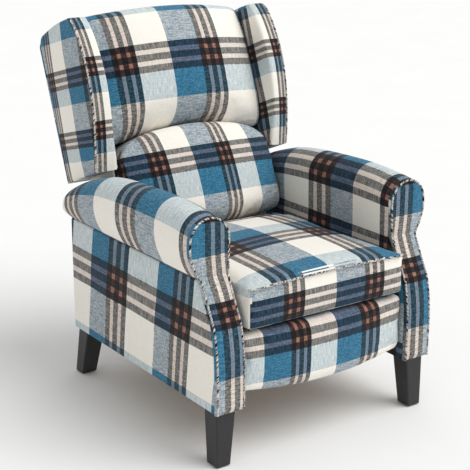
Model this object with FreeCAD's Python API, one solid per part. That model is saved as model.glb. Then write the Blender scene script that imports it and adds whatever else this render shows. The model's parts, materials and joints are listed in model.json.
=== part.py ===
import FreeCAD
import Part
import math
import os

# Wingback recliner with a footrest that folds out. Millimetres. The chair faces -Y, the floor is
# z = 0 and x = 0 is the middle. The two sides mirror each other: a piece is drawn at +x and mirrored.
# The back is drawn upright in its own frame, as depth n in front of its rear face and height s above
# the bottom of the wings, and is then leaned. MIDDLE_Y is the middle of the closed chair from front
# to back: every piece is moved so that it lies at y = 0.

# upholstered body and arms
SEAT_ROOM = 514.0
ARM_W = 85.0
ROLL_OVER = 27.0
ROLL_IN = 3.0
BASE_Z = 147.0
ARM_BODY_H = 324.0
ROLL_H = 151.0
SCROLL_H = 92.0
TOE_Y = -459.0
BODY_DEPTH = 718.0
SCROLL_SET = 72.0
HIP_SET = 15.0
KNEE_H = 103.0
HIP_H = 116.0
ROLL_TAIL = 31.0
MIDDLE_Y = -2.8
GAP = 0.3

ARM_INNER_X = 0.5 * SEAT_ROOM
SIDE_OUTER_X = ARM_INNER_X + ARM_W
ROLL_OUTER_X = SIDE_OUTER_X + ROLL_OVER
ROLL_INNER_X = ARM_INNER_X - ROLL_IN
ROLL_MID_X = 0.5 * (ROLL_INNER_X + ROLL_OUTER_X)
ROLL_R = 0.5 * (ROLL_OUTER_X - ROLL_INNER_X)
CREASE_Z = BASE_Z + ARM_BODY_H
ROLL_TOP_Z = CREASE_Z + ROLL_H
SCROLL_Z = CREASE_Z + SCROLL_H
REAR_Y = TOE_Y + BODY_DEPTH
SCROLL_Y = TOE_Y + SCROLL_SET
KNEE_Z = BASE_Z + KNEE_H
HIP_Z = KNEE_Z + HIP_H

# arm construction
SIDE_T = 20.0
BOARD_T = 20.0
FACING_T = 8.0
FACING_LAP = 4.0
FACING_INSET = 2.5
INNER_PAD_SET = 119.0
WELT_R = 3.2
WELT_LIFT = 1.6
WELT_SIDES = 8
WINDOW_W = 130.0
WINDOW_H = 60.0
WINDOW_PITCH = 180.0
WINDOW_N = 3
WINDOW_R = 14.0
WINDOW_FRONT = 99.0
WINDOW_LOW = 68.0
WINDOW_HIGH = 213.0
ARM_BOARD_T = 18.0
ARM_BOARD_W = 50.0
ARM_BOARD_LIFT = 8.0

FRAME_IN_X = SIDE_OUTER_X - SIDE_T - BOARD_T
FACING_X0 = ARM_INNER_X + FACING_INSET
FACING_X1 = SIDE_OUTER_X - 1.0

# legs and cross rails
LEG_TOP = 56.0
LEG_INSET = 9.0
LEG_SET = 10.0
LEG_CORNER = 4.0
FRONT_FOOT_X = 41.0
FRONT_FOOT_Y = 46.0
REAR_INSET = 12.0
REAR_KICK = 26.0
REAR_FOOT_X = 46.0
REAR_FOOT_Y = 41.0
GLIDE_T = 4.0
GLIDE_R = 12.0
BOLT_R = 4.0
BOLT_IN = 12.0
BOLT_DOWN = 42.0
BOLT_UP = 38.0
LEG_BOLT_SET = 30.0
BLOCK_W = 38.0
BLOCK_H = 42.0
RAIL_SET = 254.0
RAIL_FRONT_T = 37.0
RAIL_REAR_T = 32.0
RAIL_H = 36.0
RAIL_LIFT = 3.0
RAIL_BOLT_R = 3.5
REAR_PANEL_T = 11.0
REAR_PANEL_DROP = 79.0

LEG_OUT_X = SIDE_OUTER_X - LEG_INSET
REAR_LEG_X = SIDE_OUTER_X - REAR_INSET
FRONT_LEG_Y = TOE_Y + LEG_SET
REAR_LEG_Y = REAR_Y + REAR_KICK
BOLT_X = FRAME_IN_X - BOLT_IN
RAIL_FRONT_Y = TOE_Y + RAIL_SET
RAIL_REAR_Y = REAR_Y - REAR_PANEL_T - 37.0 - RAIL_REAR_T
RAIL_Z0 = BASE_Z + RAIL_LIFT
RAIL_Z1 = RAIL_Z0 + RAIL_H

# back
LEAN = 21.36
BACK_SET = 55.0
BACK_LIFT = 75.0
BACK_TOP_S = 422.0
WING_OUT = 22.0
WING_T = 55.5
WING_D = 247.0
WING_GROW = 14.0
WING_CORE_T = 16.0
PANEL_T = 9.0
PANEL_R = 4.0
FRAME_CLEAR = 1.0
FRAME_D = 35.0
STILE_W = 32.0
FRAME_S0 = -145.0
FRAME_S1 = 405.0
PAD_SET = 5.0
HEAD_S0 = 112.0
HEAD_ARCH = 58.0
ARCH_GAP = 3.0
HEAD_D = 184.0
HEAD_CROWN = 62.0
HEAD_ABOVE = 42.0
HEAD_GAP = 4.5
LUMBAR_S0 = -152.0
LUMBAR_H = 260.0
LUMBAR_D = 209.0
LUMBAR_CROWN = 50.0
LUMBAR_GAP = 13.0
STRAP_W = 30.0
STRAP_T = 1.6

BACK_Y = REAR_Y + BACK_SET
BACK_Z = CREASE_Z + BACK_LIFT
WING_OUT_X = SIDE_OUTER_X - WING_OUT
WING_IN_X = WING_OUT_X - WING_T
FRAME_N0 = PANEL_T + FRAME_CLEAR
FRAME_N1 = FRAME_N0 + FRAME_D
PAD_N = FRAME_N1 + PAD_SET
HEAD_HALF = WING_IN_X - HEAD_GAP
LUMBAR_HALF = ARM_INNER_X - LUMBAR_GAP

# recline pivot, and the crank that moves the seat
PIVOT_SET = 69.0
PIVOT_H = 153.0
PIVOT_R = 6.0
RUN = 0.06
CRANK_GAP = 3.0
CRANK_T = 4.0
CRANK_REACH = 90.0
CRANK_START = 15.0
CRANK_HUB_R = 19.0
CRANK_ARM_W = 34.0
CRANK_LEG_W = 24.0
CRANK_PIN_R = 5.0
CRANK_BOLT_R = 3.0
CRANK_BOLT_S = (-120.0, -70.0)
CRANK_TOP_S = -49.0
NOTCH_GAP = 5.0

PIVOT_Y = REAR_Y - PIVOT_SET
PIVOT_Z = BASE_Z + PIVOT_H
CRANK_X0 = ARM_INNER_X - CRANK_GAP - CRANK_T
CRANK_X1 = CRANK_X0 + CRANK_T
STILE_X1 = CRANK_X0
STILE_X0 = STILE_X1 - STILE_W
STILE_MID_N = 0.5 * (FRAME_N0 + FRAME_N1)

# seat
SEAT_GAP = 10.0
SEAT_OVERHANG = 2.0
SEAT_SET = 159.0
SEAT_RAIL_TOP = 184.0
SEAT_RAIL_H = 32.0
SEAT_RAIL_W = 22.0
SEAT_STEP = 168.0
SEAT_LIFT = 10.0
SEAT_T = 109.0
SEAT_CROWN = 20.0
SLIDE_RISE = 6.0
SPRING_R = 1.9
SPRING_N = 4
SPRING_PITCH = 90.0
SPRING_LEGS = 12
SPRING_LEG = 14.0
SPRING_SIDES = 6
ROLLER_R = 9.0
ROLLER_W = 10.0
ROLLER_RUN = 0.6
ROLLER_PIN_R = 3.5
ROLLER_FRONT = 209.0
ROLLER_SPAN = 310.0
TRACK_T = 2.0
TRACK_D = 15.0
TRACK_AHEAD = 72.0
TRACK_LEN = 412.0
TRACK_DROP = 31.0
PLATE_BOLT_R = 3.0
PLATE_BOLT_DROP = 15.0

SEAT_HALF = ARM_INNER_X - SEAT_GAP
SEAT_FRONT_Y = TOE_Y - SEAT_OVERHANG
SEAT_BACK_Y = REAR_Y - SEAT_SET
RAIL_TOP_Z = BASE_Z + SEAT_RAIL_TOP
SEAT_Z0 = RAIL_TOP_Z + SEAT_LIFT
SEAT_Z1 = SEAT_Z0 + SEAT_T
TRACK_Z = RAIL_TOP_Z - TRACK_DROP
ROLLER_FRONT_Y = TOE_Y + ROLLER_FRONT
ROLLER_REAR_Y = ROLLER_FRONT_Y + ROLLER_SPAN
TRACK_Y0 = ROLLER_FRONT_Y - TRACK_AHEAD
TRACK_X0 = ARM_INNER_X - 4.0

# footrest linkage. A pivot is (reach, height), reach being the distance in front of y = 0.
# The links lie side by side in planes, from the outside in: guide, carrier, drive, tilt, bracket.
STRIP_T = 3.5
PLANE_GAP = 1.0
STRIP_W = 18.0
EYE_R = 10.0
PIN_R = 4.0
HEAD_R = 5.8
HEAD_T = 1.8
PIN_RUN = 0.05
PIN_SLACK = 0.35
WASHER = 0.3
TUBE_R = 8.0
TUBE_T = 1.6
DRIVE_SET = 74.0
DRIVE_DROP = 9.0
GUIDE_BEHIND = 39.5
GUIDE_DROP = 3.0
DRIVE_LEN = 159.3
DRIVE_ANGLE = -125.35
TILT_ALONG = 120.4
TILT_ASIDE = -12.6
GUIDE_LEN = 159.8
GUIDE_ANGLE = -125.05
CARRIER_LEN = 119.7
CARRIER_ANGLE = 45.93
TILT_LEN = 120.2
TILT_ANGLE = 46.28

PLANE_STEP = STRIP_T + PLANE_GAP
PLANE_GUIDE = SEAT_HALF - 1.0
PLANE_CARRIER = PLANE_GUIDE - PLANE_STEP
PLANE_DRIVE = PLANE_CARRIER - PLANE_STEP
PLANE_TILT = PLANE_DRIVE - PLANE_STEP
PLANE_BRACKET = PLANE_TILT - PLANE_STEP
DRIVE_TOP = (-TOE_Y - DRIVE_SET, RAIL_TOP_Z - DRIVE_DROP)
GUIDE_TOP = (DRIVE_TOP[0] - GUIDE_BEHIND, RAIL_TOP_Z - GUIDE_DROP)

# footrest panel
FOOT_GAP = 2.0
FOOT_AHEAD = 17.0
FOOT_BOARD_T = 12.0
FOOT_PAD_T = 32.0
FOOT_BOW = 24.0
FOOT_CORNER = 37.0
FOOT_DIP = 24.0
FLANGE_W = 24.0
SCREW_R = 2.5
SCREW_HEAD_R = 5.0
SCREW_IN = 16.0
SCREW_LEN = 9.0

FOOT_HALF = ARM_INNER_X - FOOT_GAP
FOOT_BACK_Q = DRIVE_TOP[0] + FOOT_AHEAD
FOOT_FACE_Q = FOOT_BACK_Q + FOOT_BOARD_T + FOOT_PAD_T
FOOT_TOP_Z = RAIL_TOP_Z
FOOT_CORNER_Z = BASE_Z + FOOT_CORNER

# seat frame, between the footrest board and the back
SEAT_FRAME_Y0 = -FOOT_BACK_Q + 6.0
SEAT_STEP_Y0 = SEAT_FRAME_Y0 + SEAT_STEP
SEAT_RAIL_X1 = PLANE_BRACKET - 6.0
SEAT_RAIL_X0 = SEAT_RAIL_X1 - SEAT_RAIL_W


def vec(x, y, z):
    return FreeCAD.Vector(x, y, z)


def polar(start, length, degrees):
    a = math.radians(degrees)
    return (start[0] + length * math.cos(a), start[1] + length * math.sin(a))


DRIVE_END = polar(DRIVE_TOP, DRIVE_LEN, DRIVE_ANGLE)
GUIDE_END = polar(GUIDE_TOP, GUIDE_LEN, GUIDE_ANGLE)
CARRIER_END = polar(DRIVE_END, CARRIER_LEN, CARRIER_ANGLE)
TILT_START = polar(polar(DRIVE_TOP, TILT_ALONG, DRIVE_ANGLE), TILT_ASIDE, DRIVE_ANGLE + 90.0)
TILT_END = polar(TILT_START, TILT_LEN, TILT_ANGLE)
BRACKET_Z0 = CARRIER_END[1] - 20.0
BRACKET_Z1 = TILT_END[1] + 8.0
SCREW_ZS = (BRACKET_Z0 + SCREW_IN, BRACKET_Z1 - SCREW_IN)


def box(x0, x1, y0, y1, z0, z1):
    return Part.makeBox(x1 - x0, y1 - y0, z1 - z0, vec(x0, y0, z0))


def rod(x0, x1, y, z, r):
    return Part.makeCylinder(r, x1 - x0, vec(x0, y, z), vec(1, 0, 0))


def post(x, y, z0, z1, r):
    return Part.makeCylinder(r, z1 - z0, vec(x, y, z0), vec(0, 0, 1))


def mirrored(shape):
    return shape.mirror(vec(0, 0, 0), vec(1, 0, 0))


def both(shapes):
    return list(shapes) + [mirrored(s) for s in shapes]


def polygon_prism(points, x0, x1):
    """Flat plate from x0 to x1 with an outline of (y, z) points."""
    pts = [vec(x0, y, z) for y, z in points]
    face = Part.Face(Part.makePolygon(pts + [pts[0]]))
    return face.extrude(vec(x1 - x0, 0, 0))


def hex_head(x0, x1, y, z, r):
    corners = [polar((y, z), r, 60.0 * i) for i in range(6)]
    return polygon_prism(corners, x0, x1)


def line(a, b):
    return Part.makeLine(a, b)


def arc(a, b, c):
    return Part.Arc(a, b, c).toShape()


def loop(edges):
    return Part.Wire(edges)


def soften(shape, radius, test):
    """Round the edges that pass the test."""
    return shape.makeFillet(radius, [e for e in shape.Edges if test(e)])


def along(edge, axis):
    if len(edge.Vertexes) < 2:
        return False
    d = edge.Vertexes[-1].Point - edge.Vertexes[0].Point
    return abs(d.dot(axis)) > 0.98 * d.Length


def loft(wires):
    return Part.makeLoft(wires, True, True)


def route(points):
    """Straight runs through the points, joined by the largest tangent arcs that the runs allow."""
    edges = []
    at = points[0]
    for before, corner, after in zip(points, points[1:], points[2:]):
        into = corner - before
        out = after - corner
        reach = 0.45 * min(into.Length, out.Length)
        into.normalize()
        out.normalize()
        turn = math.acos(max(-1.0, min(1.0, into.dot(out))))
        if turn < 0.01:
            continue
        radius = reach / math.tan(0.5 * turn)
        bend = out - into
        bend.normalize()
        start = corner - into * reach
        end = corner + out * reach
        edges.append(line(at, start))
        edges.append(arc(start, corner + bend * (radius / math.cos(0.5 * turn) - radius), end))
        at = end
    edges.append(line(at, points[-1]))
    return edges


def tube(edges, r, sides):
    """Cord or wire along a chain of tangent edges, with a many sided section."""
    start = edges[0].Vertexes[0].Point
    ahead = edges[0].Vertexes[-1].Point - start
    u = ahead.cross(vec(0.3, 0.2, 1.0))
    u.normalize()
    w = ahead.cross(u)
    w.normalize()
    corners = []
    for i in range(sides):
        a = 2.0 * math.pi * i / sides
        corners.append(start + u * (r * math.cos(a)) + w * (r * math.sin(a)))
    ring = Part.makePolygon(corners + [corners[0]])
    return Part.Wire(edges).makePipeShell([ring], True, False)


# Arms


def arm_front_y(z):
    """Front of the arm below the scroll: upright to the knee, then leaning back to the neck."""
    if z <= KNEE_Z:
        return TOE_Y
    if z <= HIP_Z:
        k = (z - KNEE_Z) / HIP_H
        return TOE_Y + HIP_SET * k * k
    k = min((z - HIP_Z) / (CREASE_Z + FACING_LAP - HIP_Z), 1.0)
    return TOE_Y + HIP_SET + (SCROLL_SET - HIP_SET) * k


def front_edges(x, back, z0, z1):
    """The front line of the arm, set back by a distance, from height z0 up to z1."""
    edges = []
    start = vec(x, arm_front_y(z0) + back, z0)
    if z0 < KNEE_Z:
        knee = vec(x, TOE_Y + back, KNEE_Z)
        edges.append(line(start, knee))
        start = knee
    if z0 < HIP_Z:
        mid = 0.5 * (start.z + HIP_Z)
        hip = vec(x, arm_front_y(HIP_Z) + back, HIP_Z)
        edges.append(arc(start, vec(x, arm_front_y(mid) + back, mid), hip))
        start = hip
    edges.append(line(start, vec(x, arm_front_y(z1) + back, z1)))
    return edges


def side_slab(x0, x1, z0, z1, rear_y):
    """Upright slab behind the arm facing, following its front line."""
    back = FACING_T + GAP
    a = vec(x0, arm_front_y(z1) + back, z1)
    b = vec(x0, rear_y, z1)
    c = vec(x0, rear_y, z0)
    d = vec(x0, arm_front_y(z0) + back, z0)
    outline = loop(front_edges(x0, back, z0, z1) + [line(a, b), line(b, c), line(c, d)])
    return Part.Face(outline).extrude(vec(x1 - x0, 0, 0))


def side_frame():
    """Plywood side frame with two rows of lightening windows."""
    x1 = FRAME_IN_X + BOARD_T
    slab = side_slab(FRAME_IN_X, x1, RAIL_Z0, CREASE_Z, REAR_Y - REAR_PANEL_T - 1.0)
    for rise in (WINDOW_LOW, WINDOW_HIGH):
        z = BASE_Z + rise
        for i in range(WINDOW_N):
            y = TOE_Y + WINDOW_FRONT + WINDOW_PITCH * i
            window = box(FRAME_IN_X - 1, x1 + 1, y, y + WINDOW_W, z, z + WINDOW_H)
            slab = slab.cut(soften(window, WINDOW_R, lambda e: along(e, vec(1, 0, 0))))
    return slab


def side_panel():
    """Padded outer side with softly rounded edges."""
    slab = side_slab(SIDE_OUTER_X - SIDE_T, SIDE_OUTER_X, BASE_Z, CREASE_Z, REAR_Y)
    return soften(slab, 7.0, lambda e: all(abs(v.Point.x - SIDE_OUTER_X) < 0.01 for v in e.Vertexes))


def scroll_edges(y, top, grow):
    """Outline of the rolled arm from the front: a round head on a narrower neck."""
    k = (top - CREASE_Z) / ROLL_H

    def at(x, z):
        side = (x - ROLL_MID_X) * (1.0 + grow / ROLL_R)
        return vec(ROLL_MID_X + side, y, CREASE_Z + GAP + (z - CREASE_Z) * k)

    diagonal = math.sqrt(0.5)
    shoulder = SCROLL_Z + (ROLL_TOP_Z - SCROLL_Z) * diagonal
    a = at(ARM_INNER_X, CREASE_Z)
    b = at(ROLL_INNER_X, SCROLL_Z)
    c = at(ROLL_MID_X, ROLL_TOP_Z)
    d = at(ROLL_OUTER_X, SCROLL_Z)
    e = at(ROLL_OUTER_X - 4.0, CREASE_Z + 0.5 * SCROLL_H)
    f = at(SIDE_OUTER_X + 1.0, CREASE_Z)
    left = at(ROLL_MID_X - ROLL_R * diagonal, shoulder)
    right = at(ROLL_MID_X + ROLL_R * diagonal, shoulder)
    return [line(a, b), arc(b, left, c), arc(c, right, d), arc(d, e, f), line(f, a)]


def roll_sections():
    """Sections of the rolled top from the facing to its tail, where it drops to meet the back."""
    start = SCROLL_Y + FACING_T + GAP
    run = REAR_Y + ROLL_TAIL - start
    form = ((0.0, 0.0, 0.0), (0.12, 0.07, 0.5), (0.45, 0.07, 0.5), (0.66, -0.01, 0.0),
            (0.78, -0.15, -1.0), (0.89, -0.33, -3.0), (0.97, -0.51, -6.0), (1.0, -0.73, -16.0))
    return [scroll_edges(start + share * run, ROLL_TOP_Z + rise * ROLL_H, grow)
            for share, rise, grow in form]


def arm_board():
    """Board buried in the rolled top, over the side frame."""
    x1 = SIDE_OUTER_X - ARM_BOARD_LIFT
    z0 = CREASE_Z + ARM_BOARD_LIFT
    return box(x1 - ARM_BOARD_W, x1, SCROLL_Y + 22.0, REAR_Y - 34.0, z0, z0 + ARM_BOARD_T)


def arm_roll():
    roll = loft([loop(edges) for edges in roll_sections()])
    return roll.cut(arm_board())


def inner_pad():
    """Padding inside the arm, from the seat deck up to the roll."""
    slab = side_slab(ARM_INNER_X, FRAME_IN_X, SEAT_Z0 + 4.0, CREASE_Z, REAR_Y - INNER_PAD_SET)
    return soften(slab, 6.0, lambda e: all(abs(v.Point.x - ARM_INNER_X) < 0.01 for v in e.Vertexes))


def arm_facing():
    """Front of the arm: the scroll shape above, a bowed strip below."""
    z1 = CREASE_Z + FACING_LAP
    front = front_edges(FACING_X0, 0.0, BASE_Z, z1)
    back = front_edges(FACING_X0, FACING_T, BASE_Z, z1)
    a = vec(FACING_X0, arm_front_y(z1), z1)
    b = vec(FACING_X0, arm_front_y(z1) + FACING_T, z1)
    c = vec(FACING_X0, TOE_Y, BASE_Z)
    d = vec(FACING_X0, TOE_Y + FACING_T, BASE_Z)
    outline = loop(Part.__sortEdges__(front + back + [line(a, b), line(c, d)]))
    strip = Part.Face(outline).extrude(vec(FACING_X1 - FACING_X0, 0, 0))
    head = Part.Face(loop(scroll_edges(SCROLL_Y, ROLL_TOP_Z, 0.0))).extrude(vec(0, FACING_T, 0))
    return strip.fuse(head).removeSplitter()


def facing_welt():
    """Welt round one arm facing: up the outer edge, over the scroll, down the inner edge."""
    out_x = FACING_X1 - WELT_R
    in_x = FACING_X0 + WELT_R
    lift = WELT_R + WELT_LIFT
    radius = ROLL_R - WELT_R - 1.0
    y = SCROLL_Y - lift
    third = HIP_H / 3.0
    heights = [BASE_Z + 3.0, KNEE_Z, KNEE_Z + third, KNEE_Z + 2.0 * third, HIP_Z,
               0.5 * (HIP_Z + CREASE_Z), CREASE_Z - 16.0]
    points = [vec(out_x, arm_front_y(z) - lift, z) for z in heights]
    points.append(vec(out_x + 1.0, y - 1.0, CREASE_Z + 9.0))
    points.append(vec(ROLL_OUTER_X - 10.0, y, CREASE_Z + 0.5 * SCROLL_H + 2.0))
    for step in range(9):
        points.append(vec(*polar_xz((ROLL_MID_X, SCROLL_Z), radius, 24.5 * step - 8.0, y)))
    points.append(vec(in_x, y, CREASE_Z + 29.0))
    points.append(vec(in_x, y - 1.0, CREASE_Z + 5.0))
    for z in reversed(heights):
        points.append(vec(in_x, arm_front_y(z) - lift, z))
    return tube(route(points), WELT_R, WELT_SIDES)


def polar_xz(centre, radius, degrees, y):
    x, z = polar(centre, radius, degrees)
    return (x, y, z)


# Base


def rounded_rectangle(x0, x1, y0, y1, z, r):
    """Level outline with quarter round corners."""
    s = r * (1.0 - math.sqrt(0.5))
    edges = []
    edges.append(line(vec(x0 + r, y0, z), vec(x1 - r, y0, z)))
    edges.append(arc(vec(x1 - r, y0, z), vec(x1 - s, y0 + s, z), vec(x1, y0 + r, z)))
    edges.append(line(vec(x1, y0 + r, z), vec(x1, y1 - r, z)))
    edges.append(arc(vec(x1, y1 - r, z), vec(x1 - s, y1 - s, z), vec(x1 - r, y1, z)))
    edges.append(line(vec(x1 - r, y1, z), vec(x0 + r, y1, z)))
    edges.append(arc(vec(x0 + r, y1, z), vec(x0 + s, y1 - s, z), vec(x0, y1 - r, z)))
    edges.append(line(vec(x0, y1 - r, z), vec(x0, y0 + r, z)))
    edges.append(arc(vec(x0, y0 + r, z), vec(x0 + s, y0 + s, z), vec(x0 + r, y0, z)))
    return loop(edges)


def leg(foot, top, bolt_y):
    """Tapered post from the glide up to the body, bored for its bolt."""
    low = rounded_rectangle(*foot, GLIDE_T, LEG_CORNER)
    high = rounded_rectangle(*top, BASE_Z, LEG_CORNER)
    return loft([low, high]).cut(leg_bolt(bolt_y))


def front_leg():
    foot = (LEG_OUT_X - FRONT_FOOT_X, LEG_OUT_X, FRONT_LEG_Y, FRONT_LEG_Y + FRONT_FOOT_Y)
    top = (LEG_OUT_X - LEG_TOP, LEG_OUT_X, FRONT_LEG_Y, FRONT_LEG_Y + LEG_TOP)
    return leg(foot, top, FRONT_LEG_Y + LEG_BOLT_SET)


def rear_leg():
    """Rear leg, kicked back at the foot."""
    foot = (REAR_LEG_X - REAR_FOOT_X, REAR_LEG_X, REAR_LEG_Y - REAR_FOOT_Y, REAR_LEG_Y)
    top = (REAR_LEG_X - LEG_TOP, REAR_LEG_X, REAR_Y - LEG_TOP, REAR_Y - 4.0)
    return leg(foot, top, REAR_Y - LEG_BOLT_SET)


def leg_bolt(y):
    return post(BOLT_X, y, BASE_Z - BOLT_DOWN, BASE_Z + BOLT_UP, BOLT_R)


def corner_block(y0, y1):
    return box(FRAME_IN_X - BLOCK_W, FRAME_IN_X, y0, y1, BASE_Z, BASE_Z + BLOCK_H)


def glides():
    front = post(LEG_OUT_X - 0.5 * FRONT_FOOT_X, FRONT_LEG_Y + 0.5 * FRONT_FOOT_Y, 0.0, GLIDE_T, GLIDE_R)
    rear = post(REAR_LEG_X - 0.5 * REAR_FOOT_X, REAR_LEG_Y - 0.5 * REAR_FOOT_Y, 0.0, GLIDE_T, GLIDE_R)
    return [front, rear]


def rear_panel():
    """Padded panel closing the lower rear, notched at the top corners where the cranks swing out."""
    x1 = SIDE_OUTER_X - SIDE_T
    notch_x = CRANK_X0 - NOTCH_GAP
    notch_z = PIVOT_Z + CRANK_HUB_R + 1.0
    y0 = REAR_Y - REAR_PANEL_T
    low = box(-x1, x1, y0, REAR_Y, BASE_Z, notch_z)
    high = box(-notch_x, notch_x, y0, REAR_Y, notch_z, CREASE_Z - REAR_PANEL_DROP)
    slab = low.fuse(high).removeSplitter()
    return soften(slab, 4.0, lambda e: all(abs(v.Point.y - REAR_Y) < 0.01 for v in e.Vertexes))


def cross_rail(y0, thickness):
    return box(-FRAME_IN_X, FRAME_IN_X, y0, y0 + thickness, RAIL_Z0, RAIL_Z1)


def rail_bolt(y):
    return rod(FRAME_IN_X - 37.0, FRAME_IN_X + BOARD_T, y, 0.5 * (RAIL_Z0 + RAIL_Z1), RAIL_BOLT_R)


# Seat slide


def track_z(y):
    """Height of the track's middle, which rises towards the front."""
    return TRACK_Z - (y - ROLLER_FRONT_Y) * math.tan(math.radians(SLIDE_RISE))


def track_piece(x0, x1, extra, half):
    """Level bar along the track, turned to its slope about the front roller."""
    bar = box(x0, x1, TRACK_Y0 - extra, TRACK_Y0 + TRACK_LEN + extra, TRACK_Z - half, TRACK_Z + half)
    bar.rotate(vec(0, ROLLER_FRONT_Y, TRACK_Z), vec(1, 0, 0), -SLIDE_RISE)
    return bar


def seat_track():
    """Steel channel that the rollers run in."""
    clear = ROLLER_R + ROLLER_RUN
    outer = track_piece(TRACK_X0, TRACK_X0 + TRACK_D, 0.0, clear + TRACK_T)
    return outer.cut(track_piece(TRACK_X0 - 1.0, TRACK_X0 + TRACK_D - TRACK_T, 1.0, clear))


def track_cleat():
    return track_piece(TRACK_X0 + TRACK_D, FRAME_IN_X, 0.0, ROLLER_R + 5.0)


def crank_pin_at():
    """Place of the crank's drive pin, as (y, z)."""
    return polar((PIVOT_Y, PIVOT_Z), CRANK_REACH, CRANK_START - 90.0)


def plate_bolt_ys():
    first = SEAT_STEP_Y0 + 23.0
    last = SEAT_BACK_Y - 15.0
    return (first, 0.5 * (first + last), last)


def roller_ys():
    return (ROLLER_FRONT_Y, ROLLER_REAR_Y)


def side_plate():
    """Steel plate down each side of the seat, with the upright slot that the crank pin works in."""
    py, pz = crank_pin_at()
    rear_z = track_z(ROLLER_REAR_Y)
    top = RAIL_TOP_Z + 5.0
    nose_y = SEAT_FRAME_Y0 - 4.0
    nose_z = RAIL_TOP_Z - 20.0
    outline = [(nose_y, top), (SEAT_BACK_Y - 4.0, top), (SEAT_BACK_Y + 50.0, pz + 87.0),
               (py + 16.0, pz + 27.0), (py + 16.0, pz - 21.0), (py - 17.0, pz - 21.0),
               (py - 63.0, pz + 19.0), (ROLLER_REAR_Y + 16.0, rear_z - 17.5),
               (ROLLER_FRONT_Y + 15.0, TRACK_Z - 17.0), (ROLLER_FRONT_Y - 50.0, TRACK_Z),
               (ROLLER_FRONT_Y - 80.0, nose_z), (nose_y, nose_z)]
    x0 = PLANE_CARRIER - 10.0
    x1 = PLANE_CARRIER + 10.0
    plate = polygon_prism(outline, PLANE_CARRIER, PLANE_CARRIER + STRIP_T)
    plate = soften(plate, 9.0, lambda e: along(e, vec(1, 0, 0)) and e.Vertexes[0].Point.z < pz - 20.0)
    r = CRANK_PIN_R + 0.4
    slot = rod(x0, x1, py, pz - 9.0, r).fuse(rod(x0, x1, py, pz + 4.0, r))
    plate = plate.cut(slot.fuse(box(x0, x1, py - r, py + r, pz - 9.0, pz + 4.0)))
    for reach, z in (DRIVE_TOP, GUIDE_TOP):
        plate = plate.cut(rod(x0, x1, -reach, z, PIN_R))
    for y in roller_ys():
        plate = plate.cut(rod(x0, x1, y, track_z(y), ROLLER_PIN_R))
    for y in plate_bolt_ys():
        plate = plate.cut(rod(x0, x1, y, RAIL_TOP_Z - PLATE_BOLT_DROP, PLATE_BOLT_R))
    return plate


def seat_roller(y):
    """Nylon roller."""
    x0 = TRACK_X0 + 1.0
    roller = rod(x0, x0 + ROLLER_W, y, track_z(y), ROLLER_R)
    return roller.cut(rod(x0 - 1.0, x0 + ROLLER_W + 1.0, y, track_z(y), ROLLER_PIN_R))


def roller_pin(y):
    return rod(PLANE_CARRIER, TRACK_X0 + 1.0 + ROLLER_W, y, track_z(y), ROLLER_PIN_R)


def plate_bolt(y):
    z = RAIL_TOP_Z - PLATE_BOLT_DROP
    x1 = PLANE_CARRIER + STRIP_T
    shank = rod(SEAT_RAIL_X1 - 7.0, x1, y, z, PLATE_BOLT_R)
    return shank.fuse(hex_head(x1, x1 + 2.5, y, z, 2.0 * PLATE_BOLT_R)).removeSplitter()


def seat_frame():
    """Hardwood frame, stepped out behind the linkage to meet the side plates."""
    z0 = RAIL_TOP_Z - SEAT_RAIL_H
    y0 = SEAT_FRAME_Y0
    y1 = SEAT_BACK_Y
    side = box(SEAT_RAIL_X0, SEAT_RAIL_X1, y0, y1, z0, RAIL_TOP_Z)
    side = side.fuse(box(SEAT_RAIL_X1, PLANE_CARRIER, SEAT_STEP_Y0, y1, z0, RAIL_TOP_Z))
    for y in plate_bolt_ys():
        side = side.cut(rod(SEAT_RAIL_X1 - 7.0, PLANE_CARRIER + 1.0, y, RAIL_TOP_Z - PLATE_BOLT_DROP,
                            PLATE_BOLT_R))
    front = box(-SEAT_RAIL_X0, SEAT_RAIL_X0, y0, y0 + 30.0, z0, RAIL_TOP_Z)
    rear = box(-SEAT_RAIL_X0, SEAT_RAIL_X0, y1 - SEAT_RAIL_H, y1, z0, RAIL_TOP_Z)
    return side.fuse(mirrored(side)).fuse(front).fuse(rear).removeSplitter()


def zigzag_spring(x):
    """One sinuous spring: straight legs joined by half turns, from the front rail to the rear rail."""
    z = RAIL_TOP_Z + SPRING_R + 0.1
    y0 = SEAT_FRAME_Y0 + 14.0
    pitch = (SEAT_BACK_Y - 16.0 - y0) / (SPRING_LEGS - 1)
    edges = []
    side = -SPRING_LEG
    for i in range(SPRING_LEGS):
        y = y0 + pitch * i
        edges.append(line(vec(x + side, y, z), vec(x - side, y, z)))
        side = -side
        if i < SPRING_LEGS - 1:
            bulge = side + math.copysign(0.5 * pitch, side)
            edges.append(arc(vec(x + side, y, z), vec(x + bulge, y + 0.5 * pitch, z),
                             vec(x + side, y + pitch, z)))
    return tube(edges, SPRING_R, SPRING_SIDES)


def seat_deck():
    """Felt pad over the springs."""
    half = SEAT_HALF - 9.0
    z0 = RAIL_TOP_Z + 2.0 * SPRING_R + 0.4
    return box(-half, half, SEAT_FRAME_Y0, SEAT_BACK_Y - 2.0, z0, SEAT_Z0 - GAP)


def crowned_section(y, half, z0, z1, crown, side):
    """Cushion section across the chair: flat base, bowed sides, crowned top."""
    a = vec(-half, y, z0)
    b = vec(half, y, z0)
    c = vec(half, y, z1)
    d = vec(-half, y, z1)
    zm = 0.5 * (z0 + z1)
    return loop([line(a, b), arc(b, vec(half + side, y, zm), c),
                 arc(c, vec(0, y, z1 + crown), d), arc(d, vec(-half - side, y, zm), a)])


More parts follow.
